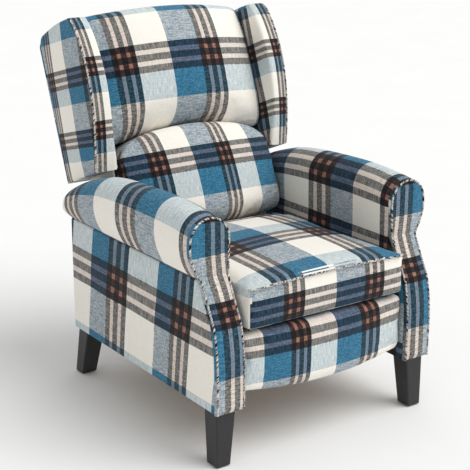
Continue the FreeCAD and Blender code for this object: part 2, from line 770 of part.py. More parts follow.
def seat_cushion():
    """Crowned seat cushion, drawn in round its edges."""
    side = 2.0
    half = SEAT_HALF - side
    front = SEAT_FRONT_Y
    stations = [(front, half - 6.0, SEAT_Z0 + 6.0, SEAT_Z1 - 5.0, 0.3 * SEAT_CROWN, 1.0),
                (front + 8.0, half, SEAT_Z0 + 1.0, SEAT_Z1, 0.55 * SEAT_CROWN, side),
                (front + 131.0, half, SEAT_Z0, SEAT_Z1, SEAT_CROWN, side),
                (SEAT_BACK_Y - 230.0, half, SEAT_Z0, SEAT_Z1, SEAT_CROWN, side),
                (SEAT_BACK_Y - 80.0, half, SEAT_Z0, SEAT_Z1 - 4.0, 0.4 * SEAT_CROWN, side),
                (SEAT_BACK_Y, half - 4.0, SEAT_Z0 + 2.0, SEAT_Z1 - 22.0, 0.2 * SEAT_CROWN, 1.0)]
    return loft([crowned_section(*s) for s in stations])


def seat_welt():
    """Welt along the top front edge of the seat cushion."""
    y = SEAT_FRONT_Y - WELT_R - 0.6
    z = SEAT_Z1 - 3.0
    half = SEAT_HALF - 10.0
    form = ((-1.0, 0.0), (-0.5, 4.0), (0.0, 6.0), (0.5, 4.0), (1.0, 0.0))
    return tube(route([vec(half * k, y, z + rise) for k, rise in form]), WELT_R, WELT_SIDES)


# Footrest linkage


def strip(a, b, plane, hole_a, hole_b):
    """Flat steel link between two pivots, with round ends."""
    x1 = plane + STRIP_T
    dy = a[0] - b[0]
    dz = b[1] - a[1]
    bar = box(plane, x1, 0.0, math.hypot(dy, dz), -0.5 * STRIP_W, 0.5 * STRIP_W)
    bar.rotate(vec(0, 0, 0), vec(1, 0, 0), math.degrees(math.atan2(dz, dy)))
    bar.translate(vec(0, -a[0], a[1]))
    for at in (a, b):
        bar = bar.fuse(rod(plane, x1, -at[0], at[1], EYE_R))
    bar = bar.removeSplitter()
    for at, hole in ((a, hole_a), (b, hole_b)):
        bar = bar.cut(rod(plane - 1, x1 + 1, -at[0], at[1], hole))
    return bar


def drive_link():
    """Main link, with an ear for the tilt link."""
    y = -TILT_START[0]
    z = TILT_START[1]
    bar = strip(DRIVE_TOP, DRIVE_END, PLANE_DRIVE, PIN_R + PIN_RUN, PIN_R)
    bar = bar.fuse(rod(PLANE_DRIVE, PLANE_DRIVE + STRIP_T, y, z, EYE_R)).removeSplitter()
    return bar.cut(rod(PLANE_DRIVE - 1, PLANE_DRIVE + STRIP_T + 1, y, z, PIN_R))


def torque_tube():
    """Tube that ties the left and right main links together."""
    x = PLANE_DRIVE
    outer = rod(-x, x, -DRIVE_END[0], DRIVE_END[1], TUBE_R)
    return outer.cut(rod(-x - 1, x + 1, -DRIVE_END[0], DRIVE_END[1], TUBE_R - TUBE_T))


def pivot(at, x0, x1, inner_head, outer_head):
    """Rivet through two links at a pivot."""
    pin = rod(x0, x1, -at[0], at[1], PIN_R)
    if inner_head:
        pin = pin.fuse(rod(x0 - HEAD_T, x0, -at[0], at[1], HEAD_R))
    if outer_head:
        pin = pin.fuse(rod(x1, x1 + HEAD_T, -at[0], at[1], HEAD_R))
    return pin.removeSplitter()


def seat_pivots():
    top = pivot(DRIVE_TOP, PLANE_DRIVE - WASHER, PLANE_CARRIER + STRIP_T, False, True)
    guide = pivot(GUIDE_TOP, PLANE_CARRIER, PLANE_GUIDE + STRIP_T + WASHER, False, True)
    return [top, guide]


def drive_pivots():
    end = pivot(DRIVE_END, PLANE_DRIVE, PLANE_CARRIER + STRIP_T + WASHER, False, False)
    ear = pivot(TILT_START, PLANE_TILT - WASHER, PLANE_DRIVE + STRIP_T, True, False)
    return [end, ear]


def carrier_link():
    """Carrier that the footrest hangs on: a bar with a rear ear for the guide link."""
    run = PIN_R + PIN_RUN
    bar = strip(DRIVE_END, CARRIER_END, PLANE_CARRIER, run, run)
    bar = bar.fuse(strip(DRIVE_END, GUIDE_END, PLANE_CARRIER, run, PIN_R)).removeSplitter()
    return bar.cut(rod(PLANE_CARRIER - 1, PLANE_CARRIER + STRIP_T + 1, -DRIVE_END[0], DRIVE_END[1], run))


def carrier_pivot():
    return pivot(GUIDE_END, PLANE_CARRIER, PLANE_GUIDE + STRIP_T + WASHER, False, True)


def guide_link():
    return strip(GUIDE_TOP, GUIDE_END, PLANE_GUIDE, PIN_R + PIN_RUN, PIN_R + PIN_SLACK)


def tilt_link():
    return strip(TILT_START, TILT_END, PLANE_TILT, PIN_R + PIN_RUN, PIN_R + PIN_SLACK)


def screw(z, y_back, length, r):
    """Cylinder on a bracket screw's axis, from y_back towards the front."""
    x = PLANE_BRACKET - 0.5 * FLANGE_W - 1.0
    return Part.makeCylinder(r, length, vec(x, y_back, z), vec(0, -1, 0))


def footrest_bracket():
    """Angle bracket on the back of the footrest board, carrying the carrier and tilt links."""
    x0 = PLANE_BRACKET
    y0 = -FOOT_BACK_Q
    tilt_y = -TILT_END[0]
    carrier_y = -CARRIER_END[0]
    outline = [(y0, BRACKET_Z1), (tilt_y + 3.0, TILT_END[1] + EYE_R), (tilt_y + 11.0, TILT_END[1]),
               (carrier_y + 11.0, CARRIER_END[1] - 2.0), (carrier_y + 2.0, CARRIER_END[1] - 12.0),
               (y0, BRACKET_Z0)]
    web = polygon_prism(outline, x0, x0 + STRIP_T)
    for at in (CARRIER_END, TILT_END):
        web = web.cut(rod(x0 - 1, x0 + STRIP_T + 1, -at[0], at[1], PIN_R))
    flange = box(x0 - FLANGE_W, x0, y0, y0 + STRIP_T, BRACKET_Z0, BRACKET_Z1)
    bracket = web.fuse(flange).removeSplitter()
    for z in SCREW_ZS:
        bracket = bracket.cut(screw(z, y0 + 2.0 * STRIP_T, 3.0 * STRIP_T, SCREW_R))
    return bracket


def bracket_screw(z):
    back = STRIP_T - FOOT_BACK_Q
    shank = screw(z, back, STRIP_T + SCREW_LEN, SCREW_R)
    return shank.fuse(screw(z, back + 2.0, 2.0, SCREW_HEAD_R)).removeSplitter()


def footrest_pivots():
    carrier = pivot(CARRIER_END, PLANE_BRACKET, PLANE_CARRIER + STRIP_T + WASHER, False, True)
    tilt = pivot(TILT_END, PLANE_BRACKET, PLANE_TILT + STRIP_T + WASHER, False, False)
    return [carrier, tilt]


def footrest_board():
    half = FOOT_HALF - 15.0
    back = -FOOT_BACK_Q
    board = box(-half, half, back - FOOT_BOARD_T, back, FOOT_CORNER_Z + 8.0, FOOT_TOP_Z - 6.0)
    for hole in both([screw(z, back, SCREW_LEN, SCREW_R) for z in SCREW_ZS]):
        board = board.cut(hole)
    return board


def footrest_section(z, half, face, bow):
    """Level section of the footrest pad: flat back, bowed face."""
    back = -FOOT_BACK_Q - FOOT_BOARD_T
    a = vec(-half, back, z)
    b = vec(half, back, z)
    c = vec(half, -face, z)
    d = vec(-half, -face, z)
    return loop([line(a, b), line(b, c), arc(c, vec(0, -face - bow, z), d), line(d, a)])


def footrest_pad():
    """Upholstered panel with a bowed face, rounded top and bottom and a dipped lower edge."""
    low = FOOT_CORNER_Z - FOOT_DIP
    stations = [(low, FOOT_HALF - 3.0, FOOT_FACE_Q - 22.0, FOOT_BOW - 8.0),
                (low + 10.0, FOOT_HALF, FOOT_FACE_Q - 6.0, FOOT_BOW - 2.0),
                (low + 50.0, FOOT_HALF, FOOT_FACE_Q, FOOT_BOW),
                (FOOT_TOP_Z - 45.0, FOOT_HALF, FOOT_FACE_Q, FOOT_BOW),
                (FOOT_TOP_Z - 9.0, FOOT_HALF, FOOT_FACE_Q - 4.0, FOOT_BOW - 2.0),
                (FOOT_TOP_Z, FOOT_HALF - 3.0, FOOT_FACE_Q - 18.0, FOOT_BOW - 6.0)]
    pad = loft([footrest_section(*s) for s in stations])
    y0 = -FOOT_FACE_Q - FOOT_BOW - 50.0
    wide = FOOT_HALF + 45.0
    under = FOOT_CORNER_Z - 60.0
    a = vec(-wide, y0, FOOT_CORNER_Z)
    b = vec(wide, y0, FOOT_CORNER_Z)
    c = vec(wide, y0, under)
    d = vec(-wide, y0, under)
    edge = arc(a, vec(0, y0, low - 1.2), b)
    depth = -FOOT_BACK_Q + 22.0 - y0
    cutter = Part.Face(loop([edge, line(b, c), line(c, d), line(d, a)])).extrude(vec(0, depth, 0))
    return pad.cut(cutter)


# Back


def lean(shape):
    out = shape.copy()
    out.rotate(vec(0, 0, 0), vec(1, 0, 0), -LEAN)
    out.translate(vec(0, BACK_Y, BACK_Z))
    return out


def leaned(n, s):
    """Place in the leaned back of a point at depth n and height s, as (y, z)."""
    a = math.radians(LEAN)
    y = BACK_Y + s * math.sin(a) - n * math.cos(a)
    return (y, BACK_Z + s * math.cos(a) + n * math.sin(a))


def up(x, n, s):
    return vec(x, -n, s)


def slab_up(x0, x1, n0, n1, s0, s1):
    return box(x0, x1, -n1, -n0, s0, s1)


def wing_front(x, grow):
    """Front edge of a wing as two arcs, fullest above its middle. grow pushes the foot forward."""
    form = ((0.01, 0.721), (0.166, 0.834), (0.355, 0.94), (0.58, 1.0), (0.92, 0.915))
    p = [up(x, WING_D * n + grow * (1.0 - s), BACK_TOP_S * s) for s, n in form]
    return [arc(p[0], p[1], p[2]), arc(p[2], p[3], p[4])]


def wing_outline(x, grow):
    """Side outline of a wing in the upright back frame."""
    n0 = PANEL_T + GAP
    top = BACK_TOP_S
    forward = wing_front(x, grow)
    low = forward[0].Vertexes[0].Point
    high = forward[-1].Vertexes[-1].Point
    tip = up(x, 0.81 * WING_D, top - 1.0)
    corner = up(x, 0.88 * WING_D, top - 11.0)
    a = up(x, n0, low.z)
    b = up(x, n0, top - 12.0)
    c = up(x, n0 + 4.0, top - 4.0)
    d = up(x, n0 + 12.0, top)
    return loop([line(a, low)] + forward + [arc(high, corner, tip), line(tip, d), arc(d, c, b),
                                            line(b, a)])


def wing_core():
    """Board inside the wing."""
    x0 = 0.5 * (WING_IN_X + WING_OUT_X - WING_CORE_T)
    form = ((0.08, 0.034), (0.64, 0.034), (0.78, 0.31), (0.85, 0.59), (0.79, 0.90), (0.65, 0.95),
            (0.08, 0.95))
    return polygon_prism([(-WING_D * n, BACK_TOP_S * s) for n, s in form], x0, x0 + WING_CORE_T)


def wing():
    return loft([wing_outline(WING_IN_X, WING_GROW), wing_outline(WING_OUT_X, 0.0)]).cut(wing_core())


def wing_welt():
    """Welt up the outer front edge of the wing."""
    edge = loop(wing_front(WING_OUT_X - WELT_R, 0.0))
    points = [p + vec(0, -WELT_R - WELT_LIFT, 0) for p in edge.discretize(11)]
    return tube(route(points), WELT_R, WELT_SIDES)


def cushion_section(s, rear, half, side, crown, tilt=0.0):
    """Section of a back cushion: flat rear, bowed sides, crowned front. tilt lowers it to the front."""
    bow = 1.0
    mid = 0.5 * (rear + side)

    def at(x, n):
        return up(x, n, s - tilt * (n - rear))

    a = at(half, rear)
    b = at(-half, rear)
    c = at(-half, side)
    d = at(half, side)
    return loop([line(a, b), arc(b, at(-half - bow, mid), c), arc(c, at(0, side + crown), d),
                 arc(d, at(half + bow, mid), a)])


def head_arch():
    """Cutter under the head cushion, arched over the lumbar cushion."""
    wide = HEAD_HALF + 20.0
    n = HEAD_D + 2.0 * HEAD_CROWN
    low = HEAD_S0 - 3.0 * HEAD_ARCH
    a = up(-wide, n, HEAD_S0 - HEAD_ARCH)
    b = up(wide, n, HEAD_S0 - HEAD_ARCH)
    c = up(wide, n, low)
    d = up(-wide, n, low)
    edge = arc(a, up(0, n, HEAD_S0), b)
    return Part.Face(loop([edge, line(b, c), line(c, d), line(d, a)])).extrude(vec(0, n, 0))


def head_cushion():
    """Tall upper cushion: it bulges over the lumbar roll and wraps over the top of the frame."""
    over = PANEL_T + GAP
    low = HEAD_S0 - HEAD_ARCH
    rise = FRAME_S1 + 0.5 - low
    form = ((0.0, 8.0, 0.68, 0.45), (0.06, 1.0, 0.82, 0.56), (0.13, 0.0, 0.89, 0.64),
            (0.21, 0.0, 0.94, 0.72), (0.31, 0.0, 0.98, 0.81), (0.47, 0.0, 1.0, 0.90),
            (0.67, 0.0, 0.99, 0.97), (0.86, 0.0, 0.95, 1.0), (1.0, 1.0, 0.89, 1.0))
    wires = [cushion_section(low + k * rise, PAD_N, HEAD_HALF - inset, HEAD_D * side,
                             HEAD_CROWN * crown) for k, inset, side, crown in form]
    crest = ((0.10, 0.0, 1.0, 0.88), (0.55, 2.0, 4.0, 0.83), (0.83, 12.0, 14.0, 0.75),
             (1.0, 40.0, 35.0, 0.65))
    for k, rear, inset, side in crest:
        wires.append(cushion_section(FRAME_S1 + k * HEAD_ABOVE, over + rear, HEAD_HALF - inset,
                                     HEAD_D * side, HEAD_CROWN))
    return loft(wires).cut(head_arch())


def lumbar_cushion():
    """Lower back cushion: a full roll with round shoulders, its foot brought down to the seat."""
    wide = ((0.0, 12.0, 0.57, 0.6, 0.30), (0.012, 4.0, 0.79, 0.76, 0.22), (0.058, 1.0, 0.92, 0.88, 0.22),
            (0.10, 0.0, 0.98, 1.0, 0.17), (0.32, 0.0, 1.0, 1.0, 0.08), (0.58, 0.0, 0.976, 0.92, 0.0),
            (0.72, 3.0, 0.94, 0.9, 0.0))
    wires = [cushion_section(LUMBAR_S0 + k * LUMBAR_H, PAD_N, LUMBAR_HALF - inset, LUMBAR_D * side,
                             LUMBAR_CROWN * crown, tilt) for k, inset, side, crown, tilt in wide]
    shoulder = ((0.90, 1.0, 0.91, 0.86), (0.78, 3.0, 0.88, 0.84), (0.60, 8.0, 0.84, 0.82),
                (0.38, 16.0, 0.77, 0.78), (0.16, 28.0, 0.66, 0.7))
    wide_arch = HEAD_HALF + 20.0
    for share, inset, side, crown in shoulder:
        half = LUMBAR_HALF * share
        s = HEAD_S0 - ARCH_GAP - HEAD_ARCH * (half / wide_arch) ** 2
        wires.append(cushion_section(s, PAD_N + inset, half, LUMBAR_D * side, LUMBAR_CROWN * crown))
    return loft(wires)


def crank_bolt_hole(s):
    return rod(STILE_X0, CRANK_X1 + 1.0, -STILE_MID_N, s, CRANK_BOLT_R)


def back_frame():
    stile = slab_up(STILE_X0, STILE_X1, FRAME_N0, FRAME_N1, FRAME_S0, FRAME_S1)
    for s in CRANK_BOLT_S:
        stile = stile.cut(crank_bolt_hole(s))
    frame = stile.fuse(mirrored(stile))
    rails = ((FRAME_S0, FRAME_S0 + 45.0), (HEAD_S0 + 6.0, HEAD_S0 + 46.0), (FRAME_S1 - 40.0, FRAME_S1))
    for s0, s1 in rails:
        frame = frame.fuse(slab_up(-STILE_X0, STILE_X0, FRAME_N0, FRAME_N1, s0, s1))
    return frame.removeSplitter()


def back_webbing():
    """Straps across the frame behind both cushions."""
    half = STILE_X1 - 4.0
    n = FRAME_N1 + GAP
    heights = [FRAME_S0 + 65.0 + 1.5 * STRAP_W * i for i in range(5)]
    heights += [HEAD_S0 + 63.0 + 1.6 * STRAP_W * i for i in range(4)]
    return [slab_up(-half, half, n, n + STRAP_T, s, s + STRAP_W) for s in heights]


def back_panel():
    """Upholstered outside back: wide above the arms, narrow between them."""
    wide = WING_OUT_X - 1.0
    narrow = SEAT_HALF + 1.0
    slab = slab_up(-wide, wide, 0.0, PANEL_T, 4.0, BACK_TOP_S - 6.0)
    slab = slab.fuse(slab_up(-narrow, narrow, 0.0, PANEL_T, LUMBAR_S0, 4.0)).removeSplitter()
    return soften(slab, PANEL_R, lambda e: all(abs(v.Point.y) < 0.01 for v in e.Vertexes))


def recline_crank():
    """Steel crank: an arm up the stile, a hub on the pivot and a leg down to the drive pin."""
    hub = (PIVOT_Y, PIVOT_Z)
    pin = crank_pin_at()
    crank = rod(CRANK_X0, CRANK_X1, hub[0], hub[1], CRANK_HUB_R)
    crank = crank.fuse(rod(CRANK_X0, CRANK_X1, pin[0], pin[1], 0.5 * CRANK_LEG_W))
    for end, width in ((leaned(STILE_MID_N, CRANK_TOP_S), CRANK_ARM_W), (pin, CRANK_LEG_W)):
        dy = end[0] - hub[0]
        dz = end[1] - hub[1]
        bar = box(CRANK_X0, CRANK_X1, 0.0, math.hypot(dy, dz), -0.5 * width, 0.5 * width)
        bar.rotate(vec(0, 0, 0), vec(1, 0, 0), math.degrees(math.atan2(dz, dy)))
        bar.translate(vec(0, hub[0], hub[1]))
        crank = crank.fuse(bar)
    crank = crank.removeSplitter()
    crank = crank.cut(rod(CRANK_X0 - 1, CRANK_X1 + 1, hub[0], hub[1], PIVOT_R + RUN))
    crank = crank.cut(rod(CRANK_X0 - 1, CRANK_X1 + 1, pin[0], pin[1], CRANK_PIN_R))
    for s in CRANK_BOLT_S:
        crank = crank.cut(lean(crank_bolt_hole(s)))
    return crank


def crank_bolt(s):
    shank = rod(STILE_X0, CRANK_X1, -STILE_MID_N, s, CRANK_BOLT_R)
    head = hex_head(CRANK_X1, CRANK_X1 + 2.2, -STILE_MID_N, s, 2.0 * CRANK_BOLT_R)
    return lean(shank.fuse(head).removeSplitter())


def crank_pin():
    y, z = crank_pin_at()
    return rod(PLANE_CARRIER - 2.0, CRANK_X1, y, z, CRANK_PIN_R)


def pivot_plate():
    """Flange on the side frame with the fixed pin that the back turns on."""
    x0 = FRAME_IN_X - 4.0
    half_y = 32.0
    half_z = 26.0
    flange = box(x0, FRAME_IN_X, PIVOT_Y - half_y, PIVOT_Y + half_y, PIVOT_Z - half_z, PIVOT_Z + half_z)
    flange = soften(flange, 8.0, lambda e: along(e, vec(1, 0, 0)))
    pin = rod(CRANK_X0 - 2.0, x0, PIVOT_Y, PIVOT_Z, PIVOT_R)
    collar = rod(CRANK_X1 + 0.5, x0, PIVOT_Y, PIVOT_Z, PIVOT_R + 5.0)
    return flange.fuse(pin).fuse(collar).removeSplitter()


def save(name, shapes):
    solids = []
    for shape in shapes:
        for solid in shape.Solids:
            solid.translate(vec(0, -MIDDLE_Y, 0))
            solids.append(solid)
    out = solids[0] if len(solids) == 1 else Part.makeCompound(solids)
    out.exportStep("parts/" + name + ".step")


def save_pair(name, shape):
    save(name + "_right", [shape])
    save(name + "_left", [mirrored(shape)])


def base():
    bolts = [leg_bolt(FRONT_LEG_Y + LEG_BOLT_SET), leg_bolt(REAR_Y - LEG_BOLT_SET)]
    save("front_legs", both([front_leg()]))
    save("rear_legs", both([rear_leg()]))
    save("leg_bolts", both(bolts))
    save("leg_glides", both(glides()))
    blocks = [corner_block(FRONT_LEG_Y + 4.0, FRONT_LEG_Y + LEG_TOP),
              corner_block(RAIL_REAR_Y + RAIL_REAR_T, REAR_Y - REAR_PANEL_T - 1.0)]
    save("corner_blocks", both([block.cut(bolt) for block, bolt in zip(blocks, bolts)]))
    rails = []
    rail_bolts = []
    for y0, thickness in ((RAIL_FRONT_Y, RAIL_FRONT_T), (RAIL_REAR_Y, RAIL_REAR_T)):
        pair = both([rail_bolt(y0 + 0.5 * thickness)])
        rails.append(cross_rail(y0, thickness).cut(pair[0]).cut(pair[1]))
        rail_bolts.extend(pair)
    save("cross_rails", rails)
    save("rail_bolts", rail_bolts)
    frame = side_frame()
    for bolt in rail_bolts:
        frame = frame.cut(bolt)
    save_pair("side_frame", frame)
    save("rear_panel", [rear_panel()])


def arms():
    save_pair("side_panel", side_panel())
    save("arm_boards", both([arm_board()]))
    save_pair("arm_roll", arm_roll())
    save_pair("inner_pad", inner_pad())
    save_pair("arm_facing", arm_facing())
    save_pair("facing_welt", facing_welt())


def slides():
    save("track_cleats", both([track_cleat()]))
    save("seat_tracks", both([seat_track()]))
    save("pivot_plates", both([pivot_plate()]))


def seat():
    spring_xs = [SPRING_PITCH * (i - 0.5 * (SPRING_N - 1)) for i in range(SPRING_N)]
    save("seat_frame", [seat_frame()])
    save("seat_springs", [zigzag_spring(x) for x in spring_xs])
    save("seat_deck", [seat_deck()])
    save("seat_cushion", [seat_cushion()])
    save("seat_welt", [seat_welt()])
    save("side_plates", both([side_plate()]))
    save("plate_bolts", both([plate_bolt(y) for y in plate_bolt_ys()]))
    save("seat_rollers", both([seat_roller(y) for y in roller_ys()]))
    save("roller_pins", both([roller_pin(y) for y in roller_ys()]))
    save("seat_pivots", both(seat_pivots()))


def footrest():
    save("drive_links", both([drive_link()]))
    save("torque_tube", [torque_tube()])
    save("drive_pivots", both(drive_pivots()))
    save("guide_links", both([guide_link()]))
    save("carrier_links", both([carrier_link()]))
    save("carrier_pivots", both([carrier_pivot()]))
    save("tilt_links", both([tilt_link()]))
    save("footrest_brackets", both([footrest_bracket()]))
    save("footrest_pivots", both(footrest_pivots()))
    save("bracket_screws", both([bracket_screw(z) for z in SCREW_ZS]))
    save("footrest_board", [footrest_board()])
    save("footrest_pad", [footrest_pad()])


def back():
    save("back_frame", [lean(back_frame())])
    save("back_webbing", [lean(s) for s in back_webbing()])
    save("back_panel", [lean(back_panel())])
    save("head_cushion", [lean(head_cushion())])
    save("lumbar_cushion", [lean(lumbar_cushion())])
    save("wing_cores", both([lean(wing_core())]))
    save_pair("wing", lean(wing()))
    save("wing_welts", both([lean(wing_welt())]))
    save("recline_cranks", both([recline_crank()]))
    save("crank_bolts", both([crank_bolt(s) for s in CRANK_BOLT_S]))
    save("crank_pins", both([crank_pin()]))


os.makedirs("parts", exist_ok=True)
base()
arms()
slides()
seat()
footrest()
back()
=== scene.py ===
import json
import math

import bmesh
import bpy
import numpy as np
from bpy.props import FloatProperty, FloatVectorProperty, PointerProperty
from bpy.types import Operator, Panel, PropertyGroup
from mathutils import Matrix


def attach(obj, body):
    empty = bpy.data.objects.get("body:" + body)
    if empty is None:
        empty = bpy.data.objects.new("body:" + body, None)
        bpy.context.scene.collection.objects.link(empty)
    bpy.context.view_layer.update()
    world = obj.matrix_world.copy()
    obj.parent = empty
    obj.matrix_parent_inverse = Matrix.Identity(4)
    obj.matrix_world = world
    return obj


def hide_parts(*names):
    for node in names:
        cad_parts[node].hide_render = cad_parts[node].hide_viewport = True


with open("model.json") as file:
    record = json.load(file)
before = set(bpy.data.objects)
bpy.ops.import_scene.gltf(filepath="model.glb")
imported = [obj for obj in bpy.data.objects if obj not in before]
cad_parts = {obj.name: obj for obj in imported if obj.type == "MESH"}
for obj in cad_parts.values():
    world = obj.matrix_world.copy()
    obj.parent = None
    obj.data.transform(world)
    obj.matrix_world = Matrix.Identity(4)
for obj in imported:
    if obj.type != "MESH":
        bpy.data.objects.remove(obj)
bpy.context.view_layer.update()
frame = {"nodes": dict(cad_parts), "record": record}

# Wingback recliner: the padded and upholstered surfaces, their plaid cloth, and the finishes of the
# frame and the metalwork. Shapes are worked out in millimetres, in the chair's own frame: x across,
# y towards the back, z up. The back is drawn upright, as depth n and height s, and then leaned.

bl_info = {
    "name": "Wingback recliner",
    "version": (1, 0, 0),
    "blender": (4, 5, 0),
    "location": "3D View > Sidebar > Recliner",
    "description": "Builds the upholstery, cloth and finishes of a wingback recliner",
    "category": "Add Mesh",
}

NODES = frame["nodes"]

# Where the chair's frame puts each thing, in millimetres: arms and base first, then the back by its
# depth and height, the inner pads, and the footrest. REPEAT is one repeat of the plaid.
MM = 0.001
ARM_IN = 257.0
SIDE_OUT = 342.0
ROLL_OUT = 369.0
ROLL_IN = 254.0
ROLL_MID = 0.5 * (ROLL_IN + ROLL_OUT)
ROLL_R = 0.5 * (ROLL_OUT - ROLL_IN)
BASE_Z = 147.0
KNEE_Z = 250.0
HIP_Z = 366.0
CREASE_Z = 471.0
SCROLL_Z = 563.0
ROLL_TOP = 622.0
TOE_Y = -456.2
HIP_BACK = 15.0
NECK_BACK = 57.0
SCROLL_BULGE = 10.0
SCROLL_TUCK = 36.0
ROLL_FRONT_Y = -375.6
ROLL_REAR_Y = 276.0
FACING_PUFF = 5.5
SCROLL_Y = -384.2
REAR_Y = 261.8
LEAN = math.radians(21.36)
BACK_Y = 316.8
BACK_Z = 546.0
WING_OUT = 320.0
WING_IN = 264.5
WING_TOP = 422.0
WING_BEND = 411.0
WING_SHOULDER = 388.0
WING_FOOT = 4.2
WING_REAR = 9.3
WING_ROUND = 10.0
WING_EDGE = 5.0
BACK_FOOT = -152.0
BACK_TOP = 416.0
BACK_HALF = 319.0
BACK_NARROW = 248.0
PAD_LOW = 345.0
PAD_REAR = 142.8
BEHIND_FACING = 8.3
FOOT_HALF = 255.0
FOOT_TOP = 331.0
FOOT_SIDE_Z = 184.0
FOOT_DIP = 24.0
FOOT_BACK_Y = -411.2
REPEAT = 275.0


# ---------------------------------------------------------------------------------------- surfaces


def stack(*parts):
    """Points or cloth places from their coordinates, each a number or an array of numbers."""
    return np.stack(np.broadcast_arrays(*parts), -1)


def leaned(x, n, s):
    """Points of the leaned back: up the back by s, and forwards from its rear face by n."""
    y = BACK_Y + s * math.sin(LEAN) - n * math.cos(LEAN)
    z = BACK_Z + s * math.cos(LEAN) + n * math.sin(LEAN)
    return stack(x, y, z)


def unleaned(points):
    """Depth n and height s of points in the leaned back."""
    dy = points[..., 1] - BACK_Y
    dz = points[..., 2] - BACK_Z
    n = -dy * math.cos(LEAN) + dz * math.sin(LEAN)
    return n, dy * math.sin(LEAN) + dz * math.cos(LEAN)


def table(at, rows):
    """Smooth curve through rows of (place, value, value...): on each run a cubic whose slopes are the
    average slope of the runs on its two sides."""
    rows = np.asarray(rows, float)
    x = rows[:, 0]
    step = np.diff(x)[:, None]
    slope = np.diff(rows[:, 1:], axis=0) / step
    tangent = np.vstack([slope[:1], 0.5 * (slope[:-1] + slope[1:]), slope[-1:]])
    at = np.clip(np.asarray(at, float), x[0], x[-1])
    i = np.clip(np.searchsorted(x, at, side="right") - 1, 0, len(x) - 2)
    h = step[i, 0]
    t = ((at - x[i]) / h)[..., None]
    h = h[..., None]
    a = rows[i, 1:]
    b = rows[i + 1, 1:]
    value = (a * (2 * t**3 - 3 * t**2 + 1) + b * (3 * t**2 - 2 * t**3)
             + tangent[i] * h * (t**3 - 2 * t**2 + t) + tangent[i + 1] * h * (t**3 - t**2))
    return np.moveaxis(value, -1, 0)


def ease(a, b, x):
    """0 below a, 1 above b, and the cubic 3t^2 - 2t^3 between."""
    t = np.clip((x - a) / (b - a), 0.0, 1.0)
    return t * t * (3.0 - 2.0 * t)


def dense(a, b, count, fine):
    """Places from a to b that crowd towards both ends: a straight share mixed with half a cosine."""
    t = np.linspace(0.0, 1.0, count)
    return a + (b - a) * ((1.0 - fine) * t + fine * (0.5 - 0.5 * np.cos(math.pi * t)))


def rolled(distance, radius):
    """How far a face drops at a distance from its edge, where a quarter circle rounds that edge."""
    d = np.clip(radius - distance, 0.0, radius)
    return radius - np.sqrt(np.maximum(radius * radius - d * d, 0.0))


def ripple(a, b, size, seed):
    """Soft unevenness of stuffed cloth, from -1 to 1: five crossing sine waves of a given size."""
    rng = np.random.default_rng(seed)
    total = np.zeros(np.broadcast(a, b).shape)
    for turn, stretch, phase in rng.random((5, 3)):
        c = math.cos(math.tau * turn)
        s = math.sin(math.tau * turn)
        wave = size * (0.7 + 0.9 * stretch)
        total = total + np.sin(math.tau * (c * a + s * b) / wave + math.tau * phase)
    return total / 5.0


def units(at, marks):
    """Place in the plaid's repeat of places in millimetres. marks pairs places with borders of the
    bands, and beyond the first and last mark the cloth goes on at its usual repeat."""
    marks = np.asarray(sorted(marks), float)
    x = marks[:, 0]
    v = marks[:, 1]
    sign = 1.0 if v[-1] > v[0] else -1.0
    inside = np.interp(at, x, v)
    below = v[0] - sign * (x[0] - at) / REPEAT
    above = v[-1] + sign * (at - x[-1]) / REPEAT
    return np.where(at < x[0], below, np.where(at > x[-1], above, inside))


def grid(points, cloth):
    """A sheet of faces between neighbouring points of a grid, as (corners, cloth places, faces)."""
    m, k = points.shape[:2]
    i = np.arange(m * k).reshape(m, k)
    faces = np.stack([i[:-1, :-1], i[1:, :-1], i[1:, 1:], i[:-1, 1:]], -1).reshape(-1, 4)
    return points.reshape(-1, 3), np.broadcast_to(cloth, (m, k, 2)).reshape(-1, 2), faces


def walled(near, far, cloth_of):
    """Closed shell of two grids with the same count of points: both faces, and between their four
    borders a strip of faces each."""
    sheets = [grid(near, cloth_of(near)), grid(far, cloth_of(far))]
    for pick in ((slice(None), 0), (slice(None), -1), (0, slice(None)), (-1, slice(None))):
        wall = np.stack([near[pick], far[pick]], 0)
        sheets.append(grid(wall, cloth_of(wall)))
    return sheets


def fan(ring, cloth_of, bulge, steps):
    """Cap of a ring: copies of it shrink to its middle and rise along bulge as 1 - share squared."""
    middle = ring[:-1].mean(0)
    share = np.linspace(1.0, 0.0, steps + 1)[:, None, None]
    points = middle + (ring - middle) * share + np.asarray(bulge, float) * (1.0 - share**2)
    return grid(points, cloth_of(points))


